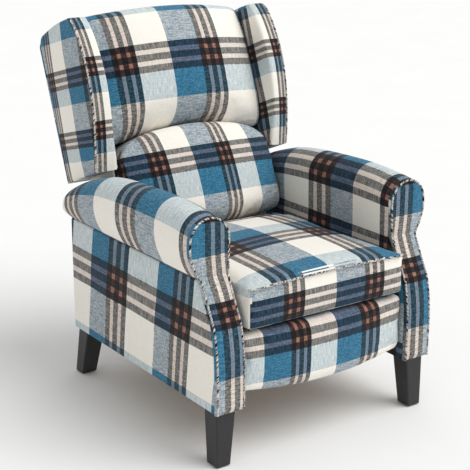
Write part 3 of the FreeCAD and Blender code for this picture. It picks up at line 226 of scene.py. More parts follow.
def build(name, sheets, smooth=40.0):
    """Object from sheets of faces. Corners at the same place become one, so seams and poles close,
    and the sides are then turned outwards."""
    corners = np.concatenate([s[0] for s in sheets])
    cloth = np.concatenate([s[1] for s in sheets])
    start = np.cumsum([0] + [len(s[0]) for s in sheets])
    quads = np.concatenate([s[2] + at for s, at in zip(sheets, start)])
    _, first, same = np.unique(np.round(corners / 0.004).astype(np.int64), axis=0,
                               return_index=True, return_inverse=True)
    joined = same.reshape(-1)[quads]
    keep = joined != np.roll(joined, 1, axis=1)
    count = keep.sum(1)
    whole = count >= 3
    joined, keep, quads, count = joined[whole], keep[whole], quads[whole], count[whole]
    mesh = bpy.data.meshes.new(name)
    mesh.vertices.add(len(first))
    mesh.vertices.foreach_set("co", (corners[first] * MM).astype(np.float32).ravel())
    mesh.loops.add(int(count.sum()))
    mesh.loops.foreach_set("vertex_index", joined[keep].astype(np.int32))
    mesh.polygons.add(len(count))
    first_loop = np.concatenate([[0], np.cumsum(count)[:-1]])
    mesh.polygons.foreach_set("loop_start", first_loop.astype(np.int32))
    layer = mesh.uv_layers.new(name="plaid")
    layer.data.foreach_set("uv", cloth[quads[keep]].astype(np.float32).ravel())
    mesh.update(calc_edges=True)
    mesh.validate()
    turn_outwards(mesh)
    mesh.shade_smooth()
    mesh.set_sharp_from_angle(angle=math.radians(smooth))
    obj = bpy.data.objects.new(name, mesh)
    bpy.context.scene.collection.objects.link(obj)
    return obj


def turn_outwards(mesh):
    """Turns every face of a closed shape to look outwards."""
    shape = bmesh.new()
    shape.from_mesh(mesh)
    bmesh.ops.recalc_face_normals(shape, faces=shape.faces)
    shape.to_mesh(mesh)
    shape.free()


def mirrored(sheets):
    """The same sheets on the chair's other side: x changes sign, and each face turns over."""
    return [(p * np.array([-1.0, 1.0, 1.0]), c, f[:, ::-1]) for p, c, f in sheets]


def both_hands(sheets):
    """The right side's sheets, and the same mirrored for the left."""
    return ("right", sheets), ("left", mirrored(sheets))


def read(items, key, width, kind=np.float32):
    """One property of a mesh's corners, edges or faces, as rows of that width."""
    values = np.empty(len(items) * width, kind)
    items.foreach_get(key, values)
    return values.reshape(-1, width)


def places(obj):
    """Corners of an object's mesh in millimetres."""
    return read(obj.data.vertices, "co", 3).astype(float) / MM


def move(obj, co):
    """Puts an object's corners at places in millimetres."""
    obj.data.vertices.foreach_set("co", (co * MM).astype(np.float32).ravel())
    obj.data.update()


def finish(obj, finish_of, body, nodes, fill=None):
    """Gives a piece its material and the body it moves with, and hides the nodes that it stands for."""
    obj.data.materials.clear()
    obj.data.materials.append(finish_of)
    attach(obj, body)
    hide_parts(*nodes)


def tube(path, radius, around):
    """Round cord along a path: circles stand square to the path, in two directions that follow it.
    The cloth runs along the path in the length of its threads."""
    ahead = np.gradient(path, axis=0)
    ahead /= np.linalg.norm(ahead, axis=1)[:, None]
    side = np.cross(ahead, np.array([0.21, 0.13, 0.97]))
    flat = np.linalg.norm(side, axis=1) < 0.2
    side[flat] = np.cross(ahead[flat], np.array([0.97, 0.13, 0.21]))
    side /= np.linalg.norm(side, axis=1)[:, None]
    over = np.cross(ahead, side)
    a = np.linspace(0.0, math.tau, around + 1)[None, :, None]
    ring = path[:, None] + radius * (np.cos(a) * side[:, None] + np.sin(a) * over[:, None])
    run = np.concatenate([[0.0], np.cumsum(np.linalg.norm(np.diff(path, axis=0), axis=1))])
    cloth = stack(run[:, None] / REPEAT, a[..., 0] * radius / REPEAT)
    ends = []
    for i, way in ((0, -1.0), (-1, 1.0)):
        ends.append(fan(ring[i], lambda p: stack(p[..., 0] / REPEAT, p[..., 2] / REPEAT),
                        ahead[i] * way * 0.6 * radius, 3))
    return [grid(ring, cloth)] + ends


# ---------------------------------------------------------------------------------------- stuffing


def remeshed(obj, size):
    """Even skin of small squares over a closed shape."""
    skin = obj.modifiers.new("skin", "REMESH")
    skin.mode = "VOXEL"
    skin.voxel_size = size * MM
    shape = bpy.context.evaluated_depsgraph_get()
    mesh = bpy.data.meshes.new_from_object(obj.evaluated_get(shape))
    mesh.name = obj.data.name
    obj.modifiers.clear()
    obj.data = mesh


def relaxed(obj, rounds):
    """Evens out the small steps of the skin: each corner moves half way to the middle of its
    neighbours, then a little more than half way back, so that the shape keeps its size."""
    a, b = read(obj.data.edges, "vertices", 2, np.int32).T
    co = places(obj)
    count = np.bincount(np.concatenate([a, b]), minlength=len(co))[:, None]
    for _ in range(rounds):
        for share in (0.5, -0.52):
            total = np.zeros_like(co)
            for axis in range(3):
                total[:, axis] = (np.bincount(a, co[b, axis], len(co))
                                  + np.bincount(b, co[a, axis], len(co)))
            co = co + share * (total / count - co)
    move(obj, co)


def stuffed(obj, size, seams, swell, pressure):
    """Fills a cushion: its skin becomes cloth under pressure from inside, held along the seams.
    seams gives, for each corner, 1 where it is sewn down and 0 where it is free. No corner moves
    further than swell. Returns where each corner was before it swelled."""
    remeshed(obj, size)
    relaxed(obj, 6)
    before = places(obj)
    held = seams(before)
    group = obj.vertex_groups.new(name="seams")
    for weight in np.unique(np.round(held[held > 0.02], 1)):
        which = np.nonzero(np.abs(np.round(held, 1) - weight) < 0.01)[0]
        group.add(which.tolist(), float(weight), "REPLACE")
    cloth = obj.modifiers.new("cloth", "CLOTH")
    settings = cloth.settings
    settings.quality = 4
    settings.mass = 0.3
    settings.tension_stiffness = 18.0
    settings.compression_stiffness = 18.0
    settings.shear_stiffness = 8.0
    settings.bending_stiffness = 0.6
    settings.use_pressure = True
    settings.uniform_pressure_force = pressure
    settings.vertex_group_mass = "seams"
    settings.effector_weights.gravity = 0.0
    cloth.point_cache.frame_start = 1
    cloth.point_cache.frame_end = 20
    scene = bpy.context.scene
    for step in range(1, 21):
        scene.frame_set(step)
    shape = bpy.context.evaluated_depsgraph_get()
    after = places(obj.evaluated_get(shape))
    obj.modifiers.clear()
    scene.frame_set(1)
    way = after - before
    length = np.linalg.norm(way, axis=1)
    allowed = swell * np.tanh(length / swell)
    way *= (allowed / np.maximum(length, 1e-6))[:, None]
    move(obj, before + way)
    return before


def lay_cloth(obj, before, places_of):
    """Lays the plaid on a skin, face corner by face corner, from where the skin was before it
    swelled and the way each face looks, so that neighbouring panels meet at a seam."""
    mesh = obj.data
    face_normal = read(mesh.polygons, "normal", 3)
    size = read(mesh.polygons, "loop_total", 1, np.int32)[:, 0]
    corner = read(mesh.loops, "vertex_index", 1, np.int32)[:, 0]
    face = np.repeat(np.arange(len(size)), size)
    middle = np.zeros((len(size), 3))
    for axis in range(3):
        middle[:, axis] = np.bincount(face, before[corner, axis]) / size
    cloth = places_of(before[corner], middle[face], face_normal[face])
    layer = mesh.uv_layers.get("plaid") or mesh.uv_layers.new(name="plaid")
    layer.data.foreach_set("uv", cloth.astype(np.float32).ravel())


def subdivided(obj):
    """Smooths a skin by dividing each of its squares once."""
    finer = obj.modifiers.new("finer", "SUBSURF")
    finer.levels = 1
    finer.render_levels = 1
    finer.uv_smooth = "NONE"
    obj.data.shade_smooth()


# --------------------------------------------------------------------------------------- materials


def rgb(code):
    """Linear colour of an sRGB hex value."""
    part = np.array([int(code[i:i + 2], 16) / 255.0 for i in (1, 3, 5)])
    linear = np.where(part <= 0.04045, part / 12.92, ((part + 0.055) / 1.055) ** 2.4)
    return (*[float(v) for v in linear], 1.0)


def add(tree, kind, inputs=(), stops=(), interpolation="LINEAR", **settings):
    """Adds a node to a material: its properties, its colour stops as (place, colour), and its inputs,
    each a value, a socket or the node whose first output it takes."""
    node = tree.nodes.new("ShaderNode" + kind)
    for key, value in settings.items():
        setattr(node, key, value)
    for i, (place, colour) in enumerate(stops):
        bar = node.color_ramp
        bar.interpolation = interpolation
        stop = bar.elements[i] if i < 1 else bar.elements.new(place)
        stop.position = place
        stop.color = colour
        if i == 0:
            bar.elements.remove(bar.elements[1])
    for key, value in inputs.items() if isinstance(inputs, dict) else enumerate(inputs):
        if isinstance(value, bpy.types.Node):
            value = value.outputs[0]
        if isinstance(value, bpy.types.NodeSocket):
            tree.links.new(value, node.inputs[key])
        else:
            node.inputs[key].default_value = value
    return node


def calc(tree, operation, *values, **settings):
    """Adds a sum between numbers and sockets."""
    return add(tree, "Math", values, operation=operation, **settings)


def connect(tree, main, colour, height, strength, distance):
    """Feeds a material's main shader its colour, and a bump whose distance is in metres."""
    tree.links.new(colour, main.inputs["Base Color"])
    bump = add(tree, "Bump", {"Height": height, "Strength": strength, "Distance": distance})
    tree.links.new(bump.outputs[0], main.inputs["Normal"])


def new_material(name, **shader):
    """Material with its main shader, whose own sockets take what is the same all over."""
    made = bpy.data.materials.new(name)
    made.use_nodes = True
    tree = made.node_tree
    tree.nodes.clear()
    main = add(tree, "BsdfPrincipled", {k.replace("_", " "): v for k, v in shader.items()})
    add(tree, "OutputMaterial", {"Surface": main})
    return made, tree, main


# One repeat of the plaid is a white band, then five stripes, then a blue band
WHITE_END = 0.40
STRIPE_END = 0.70
# A dark stripe, and that stripe with the pale one after it, as shares of the repeat
DARK_STRIPE = 0.068
STRIPE_PAIR = 0.115
# How strongly each yarn covers the other: ivory, blue, black, copper
WARP_WEIGHTS = (1.0, 1.2, 3.2, 0.46)
WEFT_WEIGHTS = (0.75, 0.65, 3.4, 0.42)
FLECK_STRENGTH = 2.9


def bands(yarns, blue, weights):
    """Colour stops of one repeat. The alpha holds a quarter of how strongly that yarn covers the
    other, which keeps it under 1."""
    order = [(0.0, "ivory", 0), (STRIPE_END, blue, 1)]
    for i in range(5):
        at = WHITE_END + STRIPE_PAIR * (i // 2) + (0.0, DARK_STRIPE)[i % 2]
        order.append((at, ("black", "copper")[i % 2], 2 + i % 2))
    return [(at, (*yarns[key][:3], weights[which] / 4.0)) for at, key, which in sorted(order)]


def plaid(name, yarns, thread, fuzz):
    """Brushed linen-look plaid, woven: soft, with slubs and a heathered mix where a white yarn
    crosses a coloured one. The two sets of yarn are coloured by the two directions of the cloth, and
    at each place the stronger yarn covers more of the other. The weave is drawn at the thread's
    spacing, and the slubs at eleven threads so that they show from across a room."""
    made, tree, main = new_material(name, Roughness=0.92, Specular_IOR_Level=0.22, Sheen_Weight=0.12,
                                    Sheen_Roughness=0.5)
    cloth = add(tree, "UVMap", uv_map="plaid")
    threads = REPEAT / thread
    split = add(tree, "SeparateXYZ", [cloth])
    slubs = []
    for thick, long in ((1.1, 11.0), (11.0, 1.1)):
        run = add(tree, "Mapping", {"Vector": cloth, "Scale": (threads / thick, threads / long, 1.0)})
        slubs.append(add(tree, "TexNoise", {"Vector": run, "Scale": 1.0, "Detail": 3.0,
                                            "Roughness": 0.65}, noise_dimensions="2D"))
    grain = add(tree, "TexNoise", {"Vector": cloth, "Scale": threads / 2.4, "Detail": 2.0,
                                   "Roughness": 0.7}, noise_dimensions="2D")
    # the borders of the bands wander by part of a thread
    yarn = []
    for way, blue, weights in ((0, "deep_blue", WARP_WEIGHTS), (1, "sky_blue", WEFT_WEIGHTS)):
        wander = calc(tree, "MULTIPLY_ADD", slubs[1 - way], fuzz, -0.5 * fuzz)
        at = calc(tree, "ADD", split.outputs[way], wander)
        at = calc(tree, "FRACT", at)
        yarn.append(add(tree, "ValToRGB", [at], bands(yarns, blue, weights), "CONSTANT"))
    # plain weave: over and under along both directions
    waves = []
    for way in (0, 1):
        turn = calc(tree, "MULTIPLY", split.outputs[way], math.pi * threads)
        waves.append(calc(tree, "SINE", turn))
    weave = calc(tree, "MULTIPLY", *waves)
    # share of the weft that shows, shifted by the slubs most where the two yarns are even
    both = calc(tree, "ADD", yarn[0].outputs[1], yarn[1].outputs[1])
    share = calc(tree, "DIVIDE", yarn[1].outputs[1], both)
    flecks = calc(tree, "SUBTRACT", slubs[1], slubs[0])
    flecks = calc(tree, "MULTIPLY_ADD", grain, 0.6, flecks)
    flecks = calc(tree, "SUBTRACT", flecks, 0.3)
    flecks = calc(tree, "MULTIPLY_ADD", weave, 0.05, flecks)
    rest = calc(tree, "SUBTRACT", 1.0, share)
    even = calc(tree, "MULTIPLY", share, rest)
    even = calc(tree, "MULTIPLY", even, FLECK_STRENGTH)
    cover = calc(tree, "MULTIPLY_ADD", flecks, even, share, use_clamp=True)
    colour = add(tree, "Mix", {0: cover, 6: yarn[0], 7: yarn[1]}, data_type="RGBA")
    height = calc(tree, "ADD", slubs[0], slubs[1])
    height = calc(tree, "ADD", height, grain)
    # low threads are deeper in colour, most of all where the yarn is dark
    depth = add(tree, "MapRange", {"Value": height, "From Min": 1.2, "From Max": 1.8, "To Min": 1.28,
                                   "To Max": 0.86})
    shade = add(tree, "Gamma", [colour.outputs[2], depth])
    height = calc(tree, "MULTIPLY_ADD", weave, 0.25, height)
    connect(tree, main, shade.outputs[0], height, 0.5, 0.0009)
    return made


def piping(name, yarns):
    """Cord covered in bias-cut plaid: the stripes cross it as short dark and pale dashes."""
    made, tree, main = new_material(name, Roughness=0.9, Specular_IOR_Level=0.22, Sheen_Weight=0.1)
    cloth = add(tree, "UVMap", uv_map="plaid")
    split = add(tree, "SeparateXYZ", [cloth])
    slant = calc(tree, "MULTIPLY_ADD", split.outputs[1], 0.7, split.outputs[0])
    slant = calc(tree, "MULTIPLY", slant, REPEAT / 13.0)
    dash = add(tree, "TexNoise", {"W": slant, "Scale": 1.0, "Detail": 2.0, "Roughness": 0.7},
               noise_dimensions="1D")
    mid = tuple(0.5 * (a + b) for a, b in zip(yarns["ivory"], yarns["black"]))
    colour = add(tree, "ValToRGB", [dash], [(0.40, yarns["black"]), (0.50, mid), (0.56, yarns["ivory"]),
                                            (0.64, mid), (0.70, yarns["deep_blue"])])
    grain = add(tree, "TexNoise", {"Vector": cloth, "Scale": REPEAT / 3.0, "Detail": 2.0},
                noise_dimensions="2D")
    tone = add(tree, "ValToRGB", [grain], [(0.3, (0.75, 0.75, 0.75, 1.0)), (0.7, (1.0, 1.0, 1.0, 1.0))])
    shade = add(tree, "Mix", {0: 1.0, 6: colour, 7: tone}, data_type="RGBA", blend_type="MULTIPLY")
    connect(tree, main, shade.outputs[2], grain, 0.4, 0.0006)
    return made


def noisy(name, vector, noise, stops, gloss, strength, distance, **shader):
    """Finish whose colour, gloss and bump all come from one noise. vector stretches the noise."""
    made, tree, main = new_material(name, **shader)
    at = add(tree, "TexCoord").outputs["Object"]
    if vector is not None:
        at = add(tree, "Mapping", {"Vector": at, "Scale": vector})
    cloudy = add(tree, "TexNoise", {"Vector": at, **noise})
    colour = add(tree, "ValToRGB", [cloudy], stops)
    depth = add(tree, "MapRange", {"Value": cloudy, "To Min": gloss[0], "To Max": gloss[1]})
    tree.links.new(depth.outputs[0], main.inputs["Roughness"])
    connect(tree, main, colour.outputs[0], cloudy, strength, distance)
    return made


def streaked(name, pale, dark, roughness, grain_mm, axis, coat=0.0):
    """Finish with a direction, such as planed wood: its noise is stretched 14 times along one axis."""
    scale = [1000.0 / grain_mm] * 3
    scale[axis] = scale[axis] / 14.0
    noise = {"Scale": 1.0, "Detail": 4.0, "Roughness": 0.6, "Distortion": 0.4}
    return noisy(name, tuple(scale), noise, [(0.30, dark), (0.70, pale)],
                 (roughness - 0.08, roughness + 0.1), 0.25, 0.0004,
                 Specular_IOR_Level=0.4, Coat_Weight=coat, Coat_Roughness=0.35)


def mottled(name, pale, dark, roughness, metallic, mottle_mm):
    """Finish without a direction, such as plated or painted metal."""
    noise = {"Scale": 1000.0 / mottle_mm, "Detail": 5.0, "Roughness": 0.62}
    return noisy(name, None, noise, [(0.32, dark), (0.68, pale)],
                 (roughness - 0.1, roughness + 0.12), 0.12, 0.0002, Metallic=metallic)


def material(name, make, *values, **named):
    """The material of that name, made the first time that it is asked for."""
    return bpy.data.materials.get(name) or make(name, *values, **named)


def yarns_of(context):
    """Colours of the five yarns, from the sidebar's settings."""
    cloth = context.scene.recliner_cloth
    return {key: (*getattr(cloth, key), 1.0)
            for key in ("ivory", "deep_blue", "sky_blue", "black", "copper")}


def plaid_cloth(context):
    """The plaid of every panel and cushion, whose bands wander by 0.006 of a repeat."""
    return material("woven_plaid_fabric", plaid, yarns_of(context),
                    context.scene.recliner_cloth.thread / MM, 0.006)


def piping_cloth(context):
    """The cover of every piping."""
    return material("bias_cut_plaid_piping", piping, yarns_of(context))


# -------------------------------------------------------------------------------------------- arms


def arm_front(z):
    """Front line of the arm: upright to the knee, easing back as a square to the hip, then straight
    to the scroll."""
    hip = HIP_BACK * np.clip((z - KNEE_Z) / (HIP_Z - KNEE_Z), 0.0, 1.0) ** 2
    neck = NECK_BACK * np.clip((z - HIP_Z) / (CREASE_Z + 4.0 - HIP_Z), 0.0, 1.0)
    return TOE_Y + hip + neck


def scroll_ring(count):
    """Outline of the arm's scroll as (x, z), from the bottom inside corner, up the inner side, over
    the top as half an ellipse, and down the outer side on a curve to the side panel."""
    t = np.linspace(0.0, 1.0, count)
    inner = stack(ARM_IN + (ROLL_IN - ARM_IN) * t, CREASE_Z + (SCROLL_Z - CREASE_Z) * t)
    a = math.pi * (1.0 - np.linspace(0.0, 1.0, 2 * count))
    top = stack(ROLL_MID + ROLL_R * np.cos(a), SCROLL_Z + (ROLL_TOP - SCROLL_Z) * np.sin(a))
    outer = stack(ROLL_OUT + SCROLL_BULGE * t - SCROLL_TUCK * t * t,
                  SCROLL_Z + (CREASE_Z - SCROLL_Z) * t)
    base = stack(SIDE_OUT + 1.0 + (ARM_IN - SIDE_OUT - 1.0) * t, CREASE_Z)
    return np.concatenate([inner[:-1], top[:-1], outer[:-1], base])


# Bands round the roll, by the length from its top with inwards negative, and along it
ROLL_MARKS = [(-188.0, 0.0), (-102.0, 0.40), (-16.0, 0.70), (78.0, 1.0)]
COLUMN_MARKS = [(-232.0, 1.0), (-138.0, 0.70), (-38.0, 0.40), (75.0, 0.0), (168.0, -0.30)]


def arm_roll():
    """Rolled top of the arm: the scroll's outline carried back along y. Its height over the crease
    and its width follow a table, and the last part drops to a rounded tail."""
    form = [(ROLL_FRONT_Y, 0.0, 0.0), (-295.4, 0.07, 0.5), (-74.7, 0.07, 0.5), (65.7, -0.01, 0.0),
            (146.0, -0.15, -1.0), (219.5, -0.33, -3.0), (262.0, -0.50, -6.0), (ROLL_REAR_Y, -0.62, -11.0)]
    y = np.concatenate([np.linspace(ROLL_FRONT_Y, -360.0, 8)[:-1], np.linspace(-360.0, ROLL_REAR_Y, 150)])
    rise, grow = table(y, form)
    ring = scroll_ring(14)
    side = ring[:, 0] - ROLL_MID
    k = 1.0 + rise
    x = ROLL_MID + side * (1.0 + grow[:, None] / ROLL_R)
    z = CREASE_Z + 0.3 + (ring[:, 1] - CREASE_Z) * k[:, None]
    # stuffed cloth: shallow hollows, drawn in a little where it meets the facing
    out = stack(side / ROLL_R, (ring[:, 1] - SCROLL_Z) / ROLL_R)
    out /= np.maximum(np.linalg.norm(out, axis=1), 0.4)[:, None]
    length = np.concatenate([[0.0], np.cumsum(np.linalg.norm(np.diff(ring, axis=0), axis=1))])
    length -= length[int(np.argmax(ring[:, 1]))]
    puff = 1.1 * ripple(y[:, None], length[None, :], 120.0, 4)
    puff = puff - 2.2 * (1.0 - ease(ROLL_FRONT_Y, -362.0, y))[:, None]
    free = ease(CREASE_Z, CREASE_Z + 20.0, ring[:, 1])[None, :]
    x = x + out[:, 0] * puff * free
    z = z + out[:, 1] * puff * free
    points = stack(x, y[:, None], z)
    cloth = stack(units(y, COLUMN_MARKS)[:, None], units(length, ROLL_MARKS)[None, :])

    def end_cloth(p):
        return stack(units(p[..., 1], COLUMN_MARKS), units(ROLL_TOP - p[..., 2], ROLL_MARKS))

    return [grid(points, cloth), fan(points[0], end_cloth, (0.0, 0.0, 0.0), 3),
            fan(points[-1], end_cloth, (0.0, 15.0, 0.0), 8)]


def slab(x_in, x_out, z0, rear, radius, puff, cloth_of):
    """Padded upright panel behind the arm's front line. Its outer face is a grid over the outline,
    rounded at the edges by a quarter circle and puffed in the middle by the product of two sines."""
    q = dense(0.0, 1.0, 64, 0.75)[None, :]
    p = dense(0.0, 1.0, 110, 0.75)[:, None]
    z = z0 + (CREASE_Z - z0) * q
    front = arm_front(z) + BEHIND_FACING
    y = front + (rear - front) * p
    edge_y = np.minimum(y - front, rear - y)
    edge_z = np.minimum(z - z0, CREASE_Z - z)
    short = np.hypot(np.clip(radius - edge_y, 0.0, None), np.clip(radius - edge_z, 0.0, None))
    drop = radius - np.sqrt(np.maximum(radius**2 - np.minimum(short, radius) ** 2, 0.0))
    way = 1.0 if x_out > x_in else -1.0
    swell = puff * (np.sin(math.pi * p) * np.sin(math.pi * q)) ** 0.5
    swell = swell + 0.35 * puff * ripple(y, z, 150.0, 9) * np.minimum(edge_y, edge_z) / 60.0
    x = x_out - way * drop + way * swell
    return walled(stack(x, y, z), stack(x_in, y, z), cloth_of)


def side_cloth(points):
    """Outer side of the arm: the cloth is cut a little off square, so its columns lean with height."""
    y = points[..., 1] + 26.0 * (points[..., 2] - 250.0) / 190.0
    columns = [(-338.0, 0.40), (-250.0, 0.70), (-178.0, 1.0), (-34.0, 1.40), (71.0, 1.70), (162.0, 2.0)]
    rows = [(172.0, 0.0), (297.0, 0.40), (395.0, 0.70)]
    return stack(units(y, columns), units(points[..., 2], rows))


def inner_cloth(points):
    """Inner side of the arm: columns by length, and stripes just below the crease."""
    rows = [(388.5, 0.70), (CREASE_Z, 0.40)]
    return stack(units(points[..., 1], COLUMN_MARKS), units(points[..., 2], rows))


def facing_outline(z):
    """Inner and outer edge of the arm's facing at a height."""
    neck = np.clip((z - CREASE_Z) / (SCROLL_Z - CREASE_Z), 0.0, 1.0)
    down = 1.0 - neck
    low_in = ARM_IN + 2.5 * (1.0 - ease(CREASE_Z - 14.0, CREASE_Z + 4.0, z))
    inner = low_in + (ROLL_IN - ARM_IN) * neck
    outer = np.where(z < CREASE_Z, SIDE_OUT - 1.0,
                     ROLL_OUT + SCROLL_BULGE * down - SCROLL_TUCK * down * down - 1.0)
    outer = outer + 1.0 * ease(CREASE_Z, SCROLL_Z, z)
    round_top = np.sqrt(np.clip(1.0 - ((z - SCROLL_Z) / (ROLL_TOP - SCROLL_Z)) ** 2, 0.0, 1.0))
    top = z > SCROLL_Z
    inner = np.where(top, ROLL_MID - ROLL_R * round_top, inner)
    outer = np.where(top, ROLL_MID + ROLL_R * round_top, outer)
    return inner, outer


def facing_cloth(points):
    """Front of the arm: rows by height, columns by the distance from a line that leans out by 8 mm
    at the scroll."""
    rows = [(237.0, 1.0), (361.0, 0.70), (419.0, 0.40), (527.0, 0.0)]
    border = 318.0 + 8.0 * ease(430.0, 540.0, points[..., 2])
    return stack(0.70 + (np.abs(points[..., 0]) - border) * 0.26 / 62.0, units(points[..., 2], rows))


def facing_heights():
    """Heights up the facing, crowding towards the top of the scroll as the sine of an angle."""
    low = np.linspace(BASE_Z, SCROLL_Z, 120)
    a = np.linspace(0.0, 0.5 * math.pi, 34)[1:]
    return np.concatenate([low, SCROLL_Z + (ROLL_TOP - SCROLL_Z) * np.sin(a)])


def facing():
    """Front of the arm: from edge to edge at each height, padded up from its edges by a sine."""
    z = facing_heights()[:, None]
    inner, outer = facing_outline(z)
    c = dense(-1.0, 1.0, 26, 0.8)[None, :]
    middle = 0.5 * (inner + outer)
    half = 0.5 * (outer - inner)
    x = middle + half * c
    edge = np.minimum(half * (1.0 - np.abs(c)), ROLL_TOP - z)
    edge = np.minimum(edge, (z - BASE_Z) + 0.5)
    puff = FACING_PUFF * np.sqrt(np.clip(1.0 - c * c, 0.0, 1.0)) * ease(0.0, 22.0, ROLL_TOP - z)
    puff = puff * ease(0.0, 14.0, z - BASE_Z)
    puff = puff + 0.5 * ripple(x, z, 70.0, 3) * ease(0.0, 18.0, edge)
    front = arm_front(z) - puff + rolled(edge, 2.5)
    return walled(stack(x, front, z), stack(x, arm_front(z) + 8.0, z), facing_cloth)


def lining(y0, y1, z0, z1):
    """Cloth that lines the inner side of the arm, beside the footrest or behind the inner pad."""
    y = np.linspace(y0, y1, 8)[:, None]
    z = np.linspace(z0, z1, 12)[None, :]
    y = np.maximum(y, arm_front(z) + BEHIND_FACING)
    near, far = (stack(x, y, z) for x in (ARM_IN + 0.6, ARM_IN + 2.0))
    return walled(near, far, inner_cloth)


def facing_welt():
    """Path of the piping round the facing: up its outer edge, over the scroll and down inside."""
    low = np.linspace(BASE_Z + 2.0, SCROLL_Z, 110)
    inner, outer = facing_outline(low)
    a = np.linspace(0.0, math.pi, 66)[1:-1]
    r = ROLL_R - 2.6
    arc = stack(ROLL_MID + r * np.cos(a), SCROLL_Y,
                SCROLL_Z + (ROLL_TOP - SCROLL_Z - 2.6) * np.sin(a))
    up = stack(outer - 2.6, arm_front(low), low)
    down = stack(inner + 2.6, arm_front(low), low)[::-1]
    path = np.concatenate([up, arc, down])
    for _ in range(3):
        path[1:-1] = 0.25 * path[:-2] + 0.5 * path[1:-1] + 0.25 * path[2:]
    path[:, 1] -= 3.0
    return path


# -------------------------------------------------------------------------------------------- back


def wing_front(s):
    """Depth of the wing's front edge at a height, fullest above its middle."""
    rows = [(WING_FOOT, 178.1), (70.0, 206.0), (149.8, 232.2), (244.8, 247.0), (320.0, 242.5),
            (388.0, 226.0), (411.0, 214.0), (419.0, 204.0)]
    return table(s, rows)[0]


def wing_outline():
    """Outline of the wing as (n, s): up the front edge, over the top corner, back along the top,
    down the rear edge and forwards along the bottom."""
    s = dense(WING_FOOT, WING_BEND, 90, 0.3)
    front = stack(wing_front(s), s)
    a = np.linspace(0.0, 0.5 * math.pi, 12)[1:]
    corner = stack(200.0 + 14.0 * np.cos(a), WING_BEND + 11.0 * np.sin(a))
    t = np.linspace(0.0, 1.0, 34)[1:]
    bow = 5.0 * np.sin(math.pi * t)
    top = stack(200.0 - 162.0 * t, WING_TOP + (bow - 3.0 * t))
    rear_corner = stack(38.0 - (38.0 - WING_REAR) * np.sin(a), WING_SHOULDER + 31.0 * np.cos(a))
    t = np.linspace(0.0, 1.0, 60)[1:]
    rear = stack(WING_REAR, WING_SHOULDER + t * (WING_FOOT - WING_SHOULDER))
    t = np.linspace(0.0, 1.0, 30)[1:]
    bottom = stack(WING_REAR + 168.8 * t, WING_FOOT)
    return np.concatenate([front, corner, top, rear_corner, rear, bottom])


def wing_rows(s, n):
    """Rows of the wing by height, which rise a little towards its rear."""
    rows = [(52.0, 1.0), (87.0, 0.70), (135.0, 0.40), (207.0, 0.0), (252.0, -0.30), (305.0, -0.60),
            (382.0, -1.0)]
    return units(s - 10.0 * (85.0 - n) / 85.0, rows)


def wing_side_cloth(points):
    """Outer face of the wing: columns by depth, leaning with height."""
    n, s = unleaned(points)
    columns = [(40.0, 0.70), (77.0, 0.40), (152.0, 0.0), (250.0, -0.35)]
    return stack(units(n + 33.0 * (405.0 - s) / 345.0, columns), wing_rows(s, n))


def wing_inner_cloth(points):
    """Inner face of the wing: columns by depth, rows level."""
    n, s = unleaned(points)
    return stack(units(n, [(120.0, 0.70), (200.0, 0.40), (262.0, 0.16)]), wing_rows(s, np.minimum(n, 85.0)))


def wing_edge_cloth(points):
    """Front face of the wing: columns across its thickness."""
    _, s = unleaned(points)
    x = np.abs(points[..., 0])
    return stack(units(x, [(262.0, 0.27), (287.0, 0.40), (325.0, 0.70)]), wing_rows(s, 85.0 + 0.0 * s))


def wing():
    """Wing: its outline carried from the inner face to the outer one, drawn in near both faces by a
    quarter circle, with padded faces that rise as 1 - share squared."""
    outline = wing_outline()
    x = np.concatenate([np.linspace(WING_IN, WING_IN + WING_ROUND, 7),
                        np.linspace(WING_IN + WING_ROUND, WING_OUT - WING_EDGE, 12)[1:-1],
                        np.linspace(WING_OUT - WING_EDGE, WING_OUT, 6)])
    inset = rolled(x - WING_IN, WING_ROUND) + rolled(WING_OUT - x, WING_EDGE)
    middle = np.array([105.0, 213.0])
    tangent = np.gradient(outline, axis=0)
    tangent /= np.maximum(np.linalg.norm(tangent, axis=1), 1e-6)[:, None]
    inward = stack(-tangent[:, 1], tangent[:, 0])
    ring = outline[None] + inward[None] * inset[:, None, None]
    forward = ease(120.0, 180.0, outline[:, 0])[None, :]
    share = ((WING_OUT - x) / (WING_OUT - WING_IN))[:, None]
    n = ring[..., 0] + 14.0 * (1.0 - np.clip(ring[..., 1] / WING_TOP, 0.0, 1.0)) * share * forward
    s = ring[..., 1]
    # the front edge thickens inwards towards its foot
    x = x[:, None] - 9.0 * share * forward * (1.0 - ease(10.0, 110.0, s))
    points = leaned(x, n, s)
    front = (outline[:, 0] > 0.97 * wing_front(np.clip(outline[:, 1], WING_FOOT, 419.0)))
    edge = np.where(front[None, :, None], wing_edge_cloth(points), wing_side_cloth(points))
    sheets = [grid(points, edge)]
    for row, cloth_of, puff in ((0, wing_inner_cloth, -2.5), (-1, wing_side_cloth, 4.5)):
        share = np.sin(np.linspace(0.5 * math.pi, 0.0, 26))[:, None]
        nn = middle[0] + (n[row] - middle[0]) * share
        ss = middle[1] + (s[row] - middle[1]) * share
        rise = puff * (1.0 - share**4) + 0.25 * puff * ripple(nn, ss, 110.0, 6) * (1.0 - share**4)
        middle_x = x[row].max()
        cap = leaned(middle_x + (x[row] - middle_x) * share + rise, nn, ss)
        sheets.append(grid(cap, cloth_of(cap)))
    return sheets


